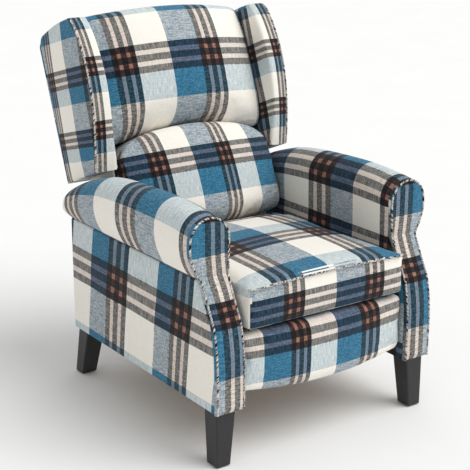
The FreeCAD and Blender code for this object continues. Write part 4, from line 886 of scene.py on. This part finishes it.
def back_side():
    """Cloth over the side of the back frame, below the wing: a section carried up the back, thin
    beside the frame and padded in front of it."""
    section = np.array([(250.4, 8.0), (252.4, 8.0), (252.6, 80.0), (252.6, 146.0), (251.0, 151.0),
                        (248.6, 152.0), (246.6, 149.0), (246.2, 60.0), (246.8, 55.0), (250.4, 52.0),
                        (250.4, 8.0)])
    s = np.linspace(-30.0, 52.0, 20)[:, None]
    points = leaned(section[:, 0], section[:, 1] + 0.0 * s, s)

    def cloth_of(p):
        n, height = unleaned(p)
        return stack(0.05 + 0.0 * n, wing_rows(height, 85.0 + 0.0 * n))

    return [grid(points, cloth_of(points)), fan(points[0], cloth_of, (0.0, 0.0, 0.0), 2),
            fan(points[-1], cloth_of, (0.0, 0.0, 0.0), 2)]


def apron():
    """Cloth that hangs from the lumbar cushion's foot behind the seat: a sheet with a shallow wave
    and its reverse side 2 mm behind."""
    x = np.linspace(-240.0, 240.0, 61)[:, None]
    z = np.linspace(348.0, 446.0, 16)[None, :]
    fall = (446.0 - z) / 98.0
    y = 121.0 + 2.0 * fall * np.sin(math.tau * x / 190.0)
    near, far = (stack(x, y + back, z) for back in (0.0, 2.0))
    return walled(near, far, plain_rows)


def wing_welt():
    """Path of the piping up the wing's outer front edge."""
    s = np.linspace(8.0, 412.0, 100)
    return leaned(WING_OUT - 2.2, wing_front(s) + 1.2, s)


def crowned(half, near, far, crown, count):
    """Closed section of a cushion as (x, depth): a near side that bows as 1 - share squared, a flat
    far side, and straight ends of count - 1 places each."""
    t = np.linspace(-1.0, 1.0, 61)[None, :]
    u = np.linspace(0.0, 1.0, count)[None, 1:]
    x = np.concatenate([half * t, half + 0.0 * u, -half * t[:, 1:], -half + 0.0 * u], 1)
    return x, np.concatenate([near + crown * (1.0 - t**2), near + (far - near) * u,
                              far + 0.0 * t[:, 1:], far + (near - far) * u], 1)


def cushion_rings(rows, count):
    """Level sections of a back cushion from rows of (height, rear, half width, depth at the sides,
    crown): flat at the rear, straight sides, and a front that bows as 1 - share squared."""
    s = dense(rows[0][0], rows[-1][0], count, 0.5)
    rear, half, side, crown = (v[:, None] for v in table(s, rows))
    x, n = crowned(half, side, rear, crown, 19)
    return x, n, np.broadcast_to(s[:, None], x.shape)


def unmarked(points):
    """No cloth places yet: they are laid on once the skin is made."""
    return np.zeros(points.shape[:2] + (2,))


def back_cushion(rows, low_of, foot, top):
    """Closed cushion from its sections, each lowered by low_of, with caps at its foot and top."""
    x, n, s = cushion_rings(rows, 60)
    points = leaned(x, n, s - low_of(x, n, s))
    ends = []
    for row, rise in ((0, -foot), (-1, top)):
        share = np.linspace(1.0, 0.0, 13)[:, None]
        xx = x[row] * share
        nn = n[row].mean() + (n[row] - n[row].mean()) * share
        ss = s[row] - low_of(xx, nn, s[row] + 0.0 * xx) + rise * (1.0 - share**2)
        ends.append(grid(leaned(xx, nn, ss), unmarked(leaned(xx, nn, ss))))
    return [grid(points, unmarked(points))] + ends


HEAD_ROWS = [(112.0, 50.0, 250.0, 122.0, 26.0), (117.0, 50.0, 256.0, 148.0, 34.0),
             (130.0, 50.0, 259.0, 166.0, 42.0), (164.8, 50.0, 260.0, 180.0, 50.0),
             (220.6, 50.0, 260.0, 184.0, 56.0), (291.0, 50.0, 260.0, 182.0, 60.0),
             (355.6, 50.0, 260.0, 175.0, 62.0), (400.0, 50.0, 259.0, 165.0, 62.0),
             (408.0, 10.5, 259.0, 162.0, 62.0), (428.1, 12.0, 256.0, 153.0, 62.0),
             (439.9, 22.0, 246.0, 138.0, 62.0), (445.5, 44.0, 224.0, 120.0, 62.0)]
LUMBAR_ROWS = [(-158.0, 50.0, 243.0, 140.0, 34.0), (-152.0, 50.0, 246.0, 172.0, 42.0),
               (-140.0, 50.0, 246.0, 194.0, 46.0), (-126.0, 50.0, 246.0, 204.0, 49.0),
               (-68.8, 50.0, 244.0, 209.0, 50.0), (-1.2, 50.0, 244.0, 204.0, 47.0),
               (35.0, 50.0, 242.0, 197.0, 45.0), (62.0, 51.0, 222.0, 189.0, 43.0),
               (81.0, 53.0, 190.0, 183.0, 42.0), (95.0, 58.0, 146.0, 174.0, 41.0),
               (104.0, 66.0, 93.0, 160.0, 39.0), (108.0, 78.0, 40.0, 138.0, 35.0)]
HEAD_LOW = 112.0
ARCH = 58.0


def under_arch(x, n, s):
    """How far the head cushion's foot comes down beside the lumbar cushion: the square of the share
    of the width, fading out by the cushion's middle."""
    return ARCH * (x / 280.0) ** 2 * (1.0 - ease(HEAD_LOW, 230.0, s))


def foot_drop(x, n, s):
    """How far the lumbar cushion's foot comes down in front, to rest on the seat."""
    slope = np.interp(s, [-158.0, -152.0, -126.0, -68.8, -1.2], [0.30, 0.24, 0.17, 0.08, 0.0])
    return slope * (n - 50.0)


def shrunk(rows, by):
    """The same sections drawn in by a distance, for a cushion that is to swell."""
    rows = [(s, rear + 0.4 * by, half - by, side - by, crown - 0.4 * by)
            for s, rear, half, side, crown in rows]
    low = rows[0][0]
    high = rows[-1][0]
    k = (high - low - 2.0 * by) / (high - low)
    return [(low + by + (r[0] - low) * k, *r[1:]) for r in rows]


def head_cloth(at, middle, normal):
    """Front panel by width and height, over the top by the length round the crest. The side panels
    take their columns from the depth."""
    n, s = unleaned(at)
    over = ease(385.0, 430.0, s) * np.clip(165.0 - n, 0.0, 200.0)
    rows = [(174.0, 1.0), (250.0, 0.70), (331.0, 0.40), (420.0, 0.0)]
    columns = [(-209.0, 0.70), (-144.0, 0.40), (-46.0, 0.0), (53.0, -0.30), (131.0, -0.60), (245.0, -1.0)]
    side = np.abs(normal[:, 0]) > 0.72
    u = np.where(side, units(n, [(120.0, 0.7), (192.0, 0.4)]), units(at[:, 0], columns))
    return stack(u, units(s + over, rows))


def lumbar_cloth(at, middle, normal):
    """Front panel by width and height. The side panels take their columns from the depth."""
    n, s = unleaned(at)
    rows = [(-109.0, 1.0), (-35.0, 0.70), (33.0, 0.40), (120.0, 0.03)]
    columns = [(-177.0, 0.70), (-122.0, 0.40), (-46.0, 0.0), (32.0, -0.30), (84.0, -0.60),
               (160.0, -1.0), (248.0, -1.30)]
    side = np.abs(normal[:, 0]) > 0.72
    u = np.where(side, units(n, [(205.0, 0.42), (133.0, 0.70)]), units(at[:, 0], columns))
    return stack(u, units(s, rows))


# -------------------------------------------------------------------------------------------- seat


def seat_box():
    """Seat cushion from its front to its rear: level base, crowned top that bows as 1 - share
    squared."""
    rows = [(-458.2, 239.0, 346.0, 443.0, 6.0), (-450.2, 244.0, 342.0, 448.0, 11.0),
            (-400.0, 245.0, 341.5, 449.5, 17.0), (-327.2, 245.0, 341.5, 450.0, 20.0),
            (-127.2, 245.0, 341.5, 450.0, 20.0), (22.8, 245.0, 341.5, 446.0, 8.0),
            (102.0, 241.0, 343.0, 428.0, 4.0)]
    y = dense(rows[0][0] + 3.0, rows[-1][0] - 3.0, 70, 0.6)
    half, low, high, crown = (v[:, None] for v in table(y, rows))
    x, z = crowned(half - 3.0, high - 4.0, low + 2.0, crown - 1.0, 15)
    points = stack(x, y[:, None], z)
    return [grid(points, unmarked(points)), fan(points[0], unmarked, (0.0, -1.0, 0.0), 16),
            fan(points[-1], unmarked, (0.0, 2.0, 0.0), 12)]


def seat_cloth(at, middle, normal):
    """Top panel by width and length, front boxing by width and height, side boxing by length."""
    x, y, z = at.T
    top = stack(units(x, [(-176.0, 0.40), (-103.0, 0.70), (1.0, 1.0), (106.0, 1.40), (178.0, 1.70),
                       (242.0, 2.0)]),
             units(y, [(-461.0, -0.27), (-385.0, 0.0), (-264.0, 0.40), (-180.0, 0.70), (-110.0, 1.0)]))
    front = stack(units(x, [(-249.0, 1.0), (-144.0, 0.70), (-80.0, 0.40), (18.0, 0.0), (112.0, -0.30),
                         (176.0, -0.60), (252.0, -0.87)]),
               units(z, [(348.0, 0.70), (417.0, 0.40), (447.0, 0.27)]))
    side = stack(units(y, [(-461.0, 0.05), (-350.0, 0.40), (-268.0, 0.70), (-185.0, 1.0)]),
              units(z, [(348.0, 0.28), (425.0, 0.0)]))
    is_front = (normal[:, 1] < -0.6) & (middle[:, 1] < -400.0)
    is_side = np.abs(normal[:, 0]) > 0.6
    is_front = is_front & ~is_side
    return np.where(is_front[:, None], front, np.where(is_side[:, None], side, top))


def foot_low(x):
    """Lower edge of the footrest, which dips in the middle by a circle's arc."""
    radius = (300.0**2 + FOOT_DIP**2) / (2.0 * FOOT_DIP)
    return FOOT_SIDE_Z - (np.sqrt(radius**2 - x**2) - (radius - FOOT_DIP))


def foot_face(x, z, draw):
    """Front of the footrest: bowed across its width, and rounded towards its top and its lower
    edge."""
    low = foot_low(x)
    rows = [(0.0, 424.0, 16.0), (3.0, 434.0, 19.0), (10.0, 440.0, 22.0), (50.0, 446.0, 24.0)]
    up, bow = table(np.clip(z - low, 0.0, 50.0), rows)
    edge = [(0.0, 18.0), (3.0, 10.0), (9.0, 4.0), (45.0, 0.0)]
    top = table(np.clip(FOOT_TOP - z, 0.0, 45.0), edge)[0]
    return 2.8 - (up - top - draw + bow * (1.0 - (x / FOOT_HALF) ** 2))


def footrest_shape():
    """Padded footrest panel: its bowed face, flat back and the walls between."""
    draw = 3.0
    c = dense(-1.0, 1.0, 90, 0.5)[:, None]
    q = dense(0.0, 1.0, 50, 0.6)[None, :]
    x = c * (FOOT_HALF - draw)
    low = foot_low(x) + draw
    z = low + (FOOT_TOP - draw - low) * q
    return walled(stack(x, foot_face(x, z, draw), z), stack(x, FOOT_BACK_Y, z), unmarked)


def foot_cloth(at, middle, normal):
    """Footrest: rows by height, columns by width, and by depth on its sides."""
    columns = [(-197.5, 1.0), (-121.0, 0.70), (-62.5, 0.40), (18.0, 0.0), (102.5, -0.30),
               (168.5, -0.60), (256.0, -0.92)]
    rows = [(197.0, 1.0), (268.0, 0.70), (332.0, 0.46)]
    side = np.abs(normal[:, 0]) > 0.75
    u = np.where(side, units(at[:, 1], [(-467.0, 0.2), (-411.0, 0.4)]), units(at[:, 0], columns))
    return stack(u, units(at[:, 2], rows))


def seat_piping():
    """Path of the piping along the seat's top front edge, bowed up as 1 - share squared."""
    t = np.linspace(-1.0, 1.0, 120)
    x = 243.0 * t
    z = 446.0 + 6.0 * (1.0 - t**2)
    y = -458.6 + 9.0 * ease(0.94, 1.0, np.abs(t))
    return stack(x, y, z)


# ------------------------------------------------------------------------------------------ panels


def panel(outline, thickness, face_of, puff, cloth_of, radius):
    """Padded panel between rows of an outline given as (low edge, high edge) of x for each height:
    rounded at its edges by a quarter circle and puffed in the middle."""
    height, half = outline
    c = dense(-1.0, 1.0, 70, 0.6)[None, :]
    x = half[:, None] * c
    level = height[:, None] + 0.0 * x
    ends = np.minimum(height - height[0], height[-1] - height)[:, None]
    edge = np.minimum(half[:, None] * (1.0 - np.abs(c)), ends)
    waves = 0.3 * puff * ripple(x, level, 140.0, 12) * ease(0.0, 50.0, edge)
    outer = face_of(x, puff * ease(0.0, 60.0, edge) + waves - rolled(edge, radius), level)
    inner = face_of(x, -thickness + 0.0 * x, level)
    return walled(outer, inner, cloth_of)


def stepped(low, high, at, half_low, half_high):
    """Rows of a panel that is half_low wide up to a height and half_high above it."""
    a = dense(low, at, 34, 0.6)
    b = dense(at, high, 44, 0.6)
    return np.concatenate([a, b]), np.concatenate([np.full(34, half_low), np.full(44, half_high)])


def plain_rows(points):
    """Panels behind the chair: columns by width, rows by height."""
    return stack(units(points[..., 0], [(-50.0, 1.0), (49.0, 0.70), (121.0, 0.40), (225.0, 0.0)]),
              units(points[..., 2], [(172.0, 0.0), (276.0, 0.40), (348.0, 0.70), (447.0, 1.0)]))


# ----------------------------------------------------------------------------------- settings shown


def colour_property(name, description, code):
    """Colour setting whose default is an sRGB hex value."""
    return FloatVectorProperty(name=name, description=description, subtype="COLOR", size=3, min=0.0,
                               max=1.0, default=rgb(code)[:3])


class ReclinerCloth(PropertyGroup):
    """Yarns of the plaid"""
    ivory: colour_property("Ivory", "Yarn of the white bands", "#f3efe6")
    deep_blue: colour_property("Deep blue", "Lengthwise yarn of the blue bands", "#2b6382")
    sky_blue: colour_property("Sky blue", "Crosswise yarn of the blue bands", "#4c90ac")
    black: colour_property("Black", "Yarn of the dark stripes", "#141419")
    copper: colour_property("Copper", "Yarn of the stripes between the dark ones", "#9a6f60")
    thread: FloatProperty(name="Thread spacing", description="Distance between neighbouring threads",
                          default=2.4 * MM, min=0.0005, max=0.01, unit="LENGTH", precision=4)


class ReclinerPadding(PropertyGroup):
    """Filling and seams of the cushions"""
    swell: FloatProperty(name="Swell", description="Furthest that a cushion's skin moves when filled",
                         default=11.0 * MM, min=0.0, max=0.03, unit="LENGTH", precision=4)
    welt: FloatProperty(name="Piping radius", description="Radius of the piping along the seams",
                        default=2.5 * MM, min=0.001, max=0.01, unit="LENGTH", precision=4)
    skin: FloatProperty(name="Skin size", description="Size of the squares of a cushion's skin",
                        default=6.0 * MM, min=0.003, max=0.02, unit="LENGTH", precision=4)


class ReclinerFinish(PropertyGroup):
    """Finishes of the legs and the mechanism"""
    leg_wood: colour_property("Leg stain", "Stain of the legs", "#2a292b")
    steel_paint: colour_property("Steel paint", "Paint of the mechanism", "#1b1b1d")


class ReclinerStage(PropertyGroup):
    """Floor and light"""
    floor: colour_property("Floor", "Colour of the floor", "#f4f4f3")
    key_power: FloatProperty(name="Key light", description="Strength of the main soft light",
                             default=1.95, min=0.0, max=20.0)
    sky: FloatProperty(name="Sky light", description="Strength of the even light from all round",
                       default=0.64, min=0.0, max=5.0)


# ---------------------------------------------------------------------------------------- operators


def covered(context, name, sheets, body, nodes, fill=None):
    """Builds a piece and covers it in the plaid."""
    finish(build(name, sheets), plaid_cloth(context), body, nodes, fill)


def piped(context, name, cord, body, nodes):
    """Builds a piping in its bias-cut cover."""
    finish(build(name, cord), piping_cloth(context), body, nodes)


def cord_along(context, path):
    """Cord of the set radius along a path."""
    return tube(path, context.scene.recliner_padding.welt / MM, 12)


def cushion(context, node, sheets, seams, swell, pressure, cloth_of, body, fill):
    """Builds a cushion, fills it and lays the plaid on it. swell is its share of the setting."""
    padding = context.scene.recliner_padding
    obj = build(node + "_cloth", sheets)
    before = stuffed(obj, padding.skin / MM, seams, swell * padding.swell / MM, pressure)
    lay_cloth(obj, before, cloth_of)
    subdivided(obj)
    finish(obj, plaid_cloth(context), body, [node], fill)


class RECLINER_OT_arms(Operator):
    """Builds the rolled tops, the outer sides and the inner pads of both arms"""
    bl_idname = "recliner.arms"
    bl_label = "Arms"

    def execute(self, context):
        side = slab(SIDE_OUT - 20.0, SIDE_OUT, BASE_Z, REAR_Y, 7.0, 3.0, side_cloth)
        inner = slab(ARM_IN + 45.0, ARM_IN, PAD_LOW, PAD_REAR, 6.0, 2.0, inner_cloth)
        for part, sheets, fill in (("arm_roll", arm_roll(), 0.75), ("side_panel", side, 0.4),
                                   ("inner_pad", inner, 0.4)):
            for hand, made in both_hands(sheets):
                covered(context, part + "_cloth_" + hand, made, "frame", [part + "_" + hand], fill)
        turned_in = lining(-448.0, -345.0, 150.0, 347.0)
        behind = lining(141.0, 258.0, 346.0, 470.0)
        for name, sheets in (("arm_lining_", turned_in), ("rear_lining_", behind)):
            for hand, made in both_hands(sheets):
                covered(context, name + hand, made, "frame", [])
        return {"FINISHED"}


class RECLINER_OT_facings(Operator):
    """Builds the fronts of both arms and the piping round them"""
    bl_idname = "recliner.facings"
    bl_label = "Arm facings"

    def execute(self, context):
        cords = both_hands(cord_along(context, facing_welt()))
        for (hand, face), (_, cord) in zip(both_hands(facing()), cords):
            covered(context, "facing_cloth_" + hand, face, "frame", ["arm_facing_" + hand], 0.4)
            piped(context, "facing_piping_" + hand, cord, "frame", ["facing_welt_" + hand])
        return {"FINISHED"}


class RECLINER_OT_wings(Operator):
    """Builds both wings and the piping on their front edges"""
    bl_idname = "recliner.wings"
    bl_label = "Wings"

    def execute(self, context):
        for hand, made in both_hands(wing()):
            covered(context, "wing_cloth_" + hand, made, "back", ["wing_" + hand], 0.5)
        for hand, made in both_hands(back_side()):
            covered(context, "back_side_cloth_" + hand, made, "back", [])
        cord = cord_along(context, wing_welt())
        piped(context, "wing_piping", cord + mirrored(cord), "back", ["wing_welts"])
        return {"FINISHED"}


def back_seams(rows):
    """Sewn lines of a back cushion: round its front panel, and where it meets the frame behind."""
    rows = np.asarray(rows, float)

    def held(at):
        n, s = unleaned(at)
        half = np.interp(s, rows[:, 0], rows[:, 2])
        side = np.interp(s, rows[:, 0], rows[:, 3])
        edge = np.hypot(np.clip(half - np.abs(at[:, 0]), 0.0, None), n - side)
        sewn = 1.0 - ease(5.0, 11.0, edge)
        behind = 1.0 - ease(60.0, 75.0, n)
        return np.maximum(sewn, behind * (s < rows[-4, 0]))

    return held


class RECLINER_OT_back_cushions(Operator):
    """Builds and fills the head cushion and the lumbar cushion"""
    bl_idname = "recliner.back_cushions"
    bl_label = "Back cushions"

    def execute(self, context):
        for node, rows, cloth_of, low_of, foot, top in (
                ("head_cushion", HEAD_ROWS, head_cloth, under_arch, 3.0, 5.0),
                ("lumbar_cushion", LUMBAR_ROWS, lumbar_cloth, foot_drop, 1.0, 1.0)):
            small = shrunk(rows, 4.0)
            sheets = back_cushion(small, low_of, foot, top)
            cushion(context, node, sheets, back_seams(small), 1.0, 4.0, cloth_of, "back", 0.8)
        covered(context, "seat_gap_apron", apron(), "back", [])
        return {"FINISHED"}


def seat_seams(at):
    """Sewn lines of the seat cushion: its front edges top and bottom, and its base."""
    x, y, z = at.T
    top = np.hypot(y + 452.0, z - 445.0 - 6.0 * (1.0 - (x / 245.0) ** 2))
    low = 1.0 - ease(344.0, 350.0, z)
    return np.maximum(1.0 - ease(6.0, 12.0, top), low)


class RECLINER_OT_seat(Operator):
    """Builds and fills the seat cushion, with the piping on its front edge"""
    bl_idname = "recliner.seat"
    bl_label = "Seat cushion"

    def execute(self, context):
        cushion(context, "seat_cushion", seat_box(), seat_seams, 0.8, 3.0, seat_cloth, "seat", 0.8)
        piped(context, "seat_piping", cord_along(context, seat_piping()), "seat", ["seat_welt"])
        return {"FINISHED"}


def foot_seams(at):
    """Sewn lines of the footrest: its back edges, which are stapled to the board."""
    return 1.0 - ease(414.0, 424.0, -at[:, 1])


class RECLINER_OT_footrest(Operator):
    """Builds and fills the padded footrest panel"""
    bl_idname = "recliner.footrest"
    bl_label = "Footrest pad"

    def execute(self, context):
        cushion(context, "footrest_pad", footrest_shape(), foot_seams, 0.55, 2.0, foot_cloth,
                "footrest", 0.6)
        return {"FINISHED"}


class RECLINER_OT_rear(Operator):
    """Builds the padded panels behind the base and behind the back"""
    bl_idname = "recliner.rear"
    bl_label = "Rear panels"

    def execute(self, context):
        low = stepped(BASE_Z, 392.0, 320.0, 322.0, 245.0)
        rear = panel(low, 10.5, lambda x, out, z: stack(x, REAR_Y + out, z), 2.0,
                     plain_rows, 4.0)
        covered(context, "rear_panel_cloth", rear, "frame", ["rear_panel"], 0.3)
        height = dense(321.0, 470.0, 40, 0.6)
        end = panel((height, np.full(40, 31.5)), 10.5,
                    lambda x, out, z: stack(x + 290.0, REAR_Y + out, z), 1.5, plain_rows, 4.0)
        for hand, made in both_hands(end):
            covered(context, "arm_rear_cloth_" + hand, made, "frame", [], 0.3)
        height, half = stepped(BACK_FOOT, BACK_TOP, 4.0, BACK_NARROW, BACK_HALF)
        high = (height, half - rolled(BACK_TOP - height, 28.0))
        back = panel(high, 9.0, lambda x, out, s: leaned(x, -out, s), 2.5, plain_rows, 4.0)
        covered(context, "back_panel_cloth", back, "back", ["back_panel"], 0.3)
        return {"FINISHED"}


class RECLINER_OT_frame_finishes(Operator):
    """Gives the wooden frame, the legs and the metalwork their finishes"""
    bl_idname = "recliner.frame_finishes"
    bl_label = "Frame and mechanism"

    def execute(self, context):
        look = context.scene.recliner_finish
        stain = (*look.leg_wood, 1.0)
        deep = (*(0.45 * v for v in look.leg_wood), 1.0)
        paint = (*look.steel_paint, 1.0)
        made = {
            # solid beech, tapered and planed, charcoal stain under thin lacquer: faint upright streaks
            "charcoal_wood": streaked("stained_beech", stain, deep, 0.46, 2.2, 2, 0.15),
            # planed pine rails, unfinished: pale, dry, with grain along their length
            "frame_wood": streaked("planed_pine", rgb("#d9b98a"), rgb("#b98f5d"), 0.62, 3.0, 0),
            # rotary-cut birch ply, unfinished: wide pale figure
            "plywood": streaked("birch_plywood", rgb("#dcc39a"), rgb("#c2a273"), 0.6, 4.0, 1),
            # zinc-plated turned pins and bolts: bright, slightly cloudy metal
            "zinc_steel": mottled("zinc_plated_steel", rgb("#c4c6c9"), rgb("#9a9ca1"), 0.32, 1.0, 5.0),
            # stamped steel under black powder coat: fine orange peel in a satin gloss
            "black_steel": mottled("powder_coated_steel", paint, rgb("#0e0e0f"), 0.42, 0.0, 1.2),
            # drawn spring wire, oiled: dark, uneven metal
            "spring_steel": mottled("oiled_spring_steel", rgb("#8b8985"), rgb("#4d4b49"), 0.38, 1.0, 4.0),
            # woven elastic webbing: dull threads across the back
            "webbing": streaked("woven_webbing", rgb("#4a4a4c"), rgb("#242426"), 0.85, 1.5, 0),
            # needled grey felt: soft speckle, no gloss
            "felt": mottled("pressed_felt", rgb("#b5b3ae"), rgb("#8f8d88"), 0.85, 0.0, 2.0),
            # moulded nylon glides and rollers: nearly black, low gloss
            "nylon": mottled("moulded_nylon", rgb("#2b2b2d"), rgb("#1a1a1b"), 0.4, 0.0, 3.0),
        }
        for part in frame["record"]["subparts"]:
            if part["material_slot"] in made:
                mesh = NODES[part["node"]].data
                mesh.materials.clear()
                mesh.materials.append(made[part["material_slot"]])
        return {"FINISHED"}


class RECLINER_OT_stage(Operator):
    """Adds the floor, the soft studio lights and the camera"""
    bl_idname = "recliner.stage"
    bl_label = "Stage"

    def execute(self, context):
        look = context.scene.recliner_stage
        scene = context.scene
        scene.view_settings.view_transform = "Standard"
        side = np.linspace(-40000.0, 40000.0, 13)
        ground = stack(side[:, None], side[None, :], 0.0)
        floor = build("floor", [grid(ground, stack(side[:, None] / 1000.0, side[None, :] / 1000.0))])
        made, tree, main = new_material("matt_floor", Roughness=0.8, Specular_IOR_Level=0.2)
        tint = (*look.floor, 1.0)
        cloudy = add(tree, "TexNoise", {"Vector": add(tree, "TexCoord").outputs["Object"], "Scale": 3.0})
        dull = (*(0.985 * v for v in look.floor), 1.0)
        shade = add(tree, "ValToRGB", [cloudy], [(0.3, dull), (0.7, tint)])
        tree.links.new(shade.outputs[0], main.inputs["Base Color"])
        floor.data.materials.append(made)
        world = bpy.data.worlds.new("studio")
        world.use_nodes = True
        sky = world.node_tree.nodes["Background"].inputs
        sky[0].default_value = (1.0, 1.0, 1.0, 1.0)
        sky[1].default_value = look.sky
        scene.world = world
        # one broad soft light from the front right, high up
        data = bpy.data.lights.new("key", "SUN")
        data.energy = look.key_power
        data.angle = math.radians(50.0)
        lamp = bpy.data.objects.new("key", data)
        back = np.array((0.42, -0.48, 0.77))
        back /= np.linalg.norm(back)
        right = np.cross((0.0, 0.0, 1.0), back)
        right /= np.linalg.norm(right)
        lamp.matrix_world = Matrix(np.array([right, np.cross(back, right), back]).T.tolist()).to_4x4()
        scene.collection.objects.link(lamp)
        lens = bpy.data.cameras.new("camera")
        lens.lens = 94.24
        lens.sensor_width = 36.0
        camera = bpy.data.objects.new("camera", lens)
        right = (0.8210030607, -0.5709183409, 0.0024944561)
        up = (0.1659678057, 0.2428441573, 0.9557621032)
        ahead = (0.5462679395, 0.7842697006, -0.2941298607)
        place = Matrix([[right[i], up[i], -ahead[i]] for i in range(3)]).to_4x4()
        place.translation = (-1.8347716, -2.6767665, 1.4246338)
        camera.matrix_world = place
        scene.collection.objects.link(camera)
        scene.camera = camera
        return {"FINISHED"}


STEPS = (RECLINER_OT_stage, RECLINER_OT_frame_finishes, RECLINER_OT_arms, RECLINER_OT_facings,
         RECLINER_OT_wings, RECLINER_OT_rear, RECLINER_OT_back_cushions, RECLINER_OT_seat,
         RECLINER_OT_footrest)


class RECLINER_PT_sidebar(Panel):
    """Lists the steps that build the chair"""
    bl_idname = "RECLINER_PT_sidebar"
    bl_label = "Wingback recliner"
    bl_space_type = "VIEW_3D"
    bl_region_type = "UI"
    bl_category = "Recliner"

    def draw(self, context):
        for step in STEPS:
            self.layout.operator(step.bl_idname)


GROUPS = (("recliner_cloth", ReclinerCloth), ("recliner_padding", ReclinerPadding),
          ("recliner_finish", ReclinerFinish), ("recliner_stage", ReclinerStage))


def register():
    """Adds the settings, the operators and the panel."""
    for name, group in GROUPS:
        bpy.utils.register_class(group)
        setattr(bpy.types.Scene, name, PointerProperty(type=group))
    for step in STEPS:
        bpy.utils.register_class(step)
    bpy.utils.register_class(RECLINER_PT_sidebar)


def unregister():
    """Takes away what register added."""
    bpy.utils.unregister_class(RECLINER_PT_sidebar)
    for step in reversed(STEPS):
        bpy.utils.unregister_class(step)
    for name, group in reversed(GROUPS):
        delattr(bpy.types.Scene, name)
        bpy.utils.unregister_class(group)


def main():
    register()
    for step in STEPS:
        group, name = step.bl_idname.split(".")
        getattr(getattr(bpy.ops, group), name)()
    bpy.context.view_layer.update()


if __name__ == "__main__":
    main()
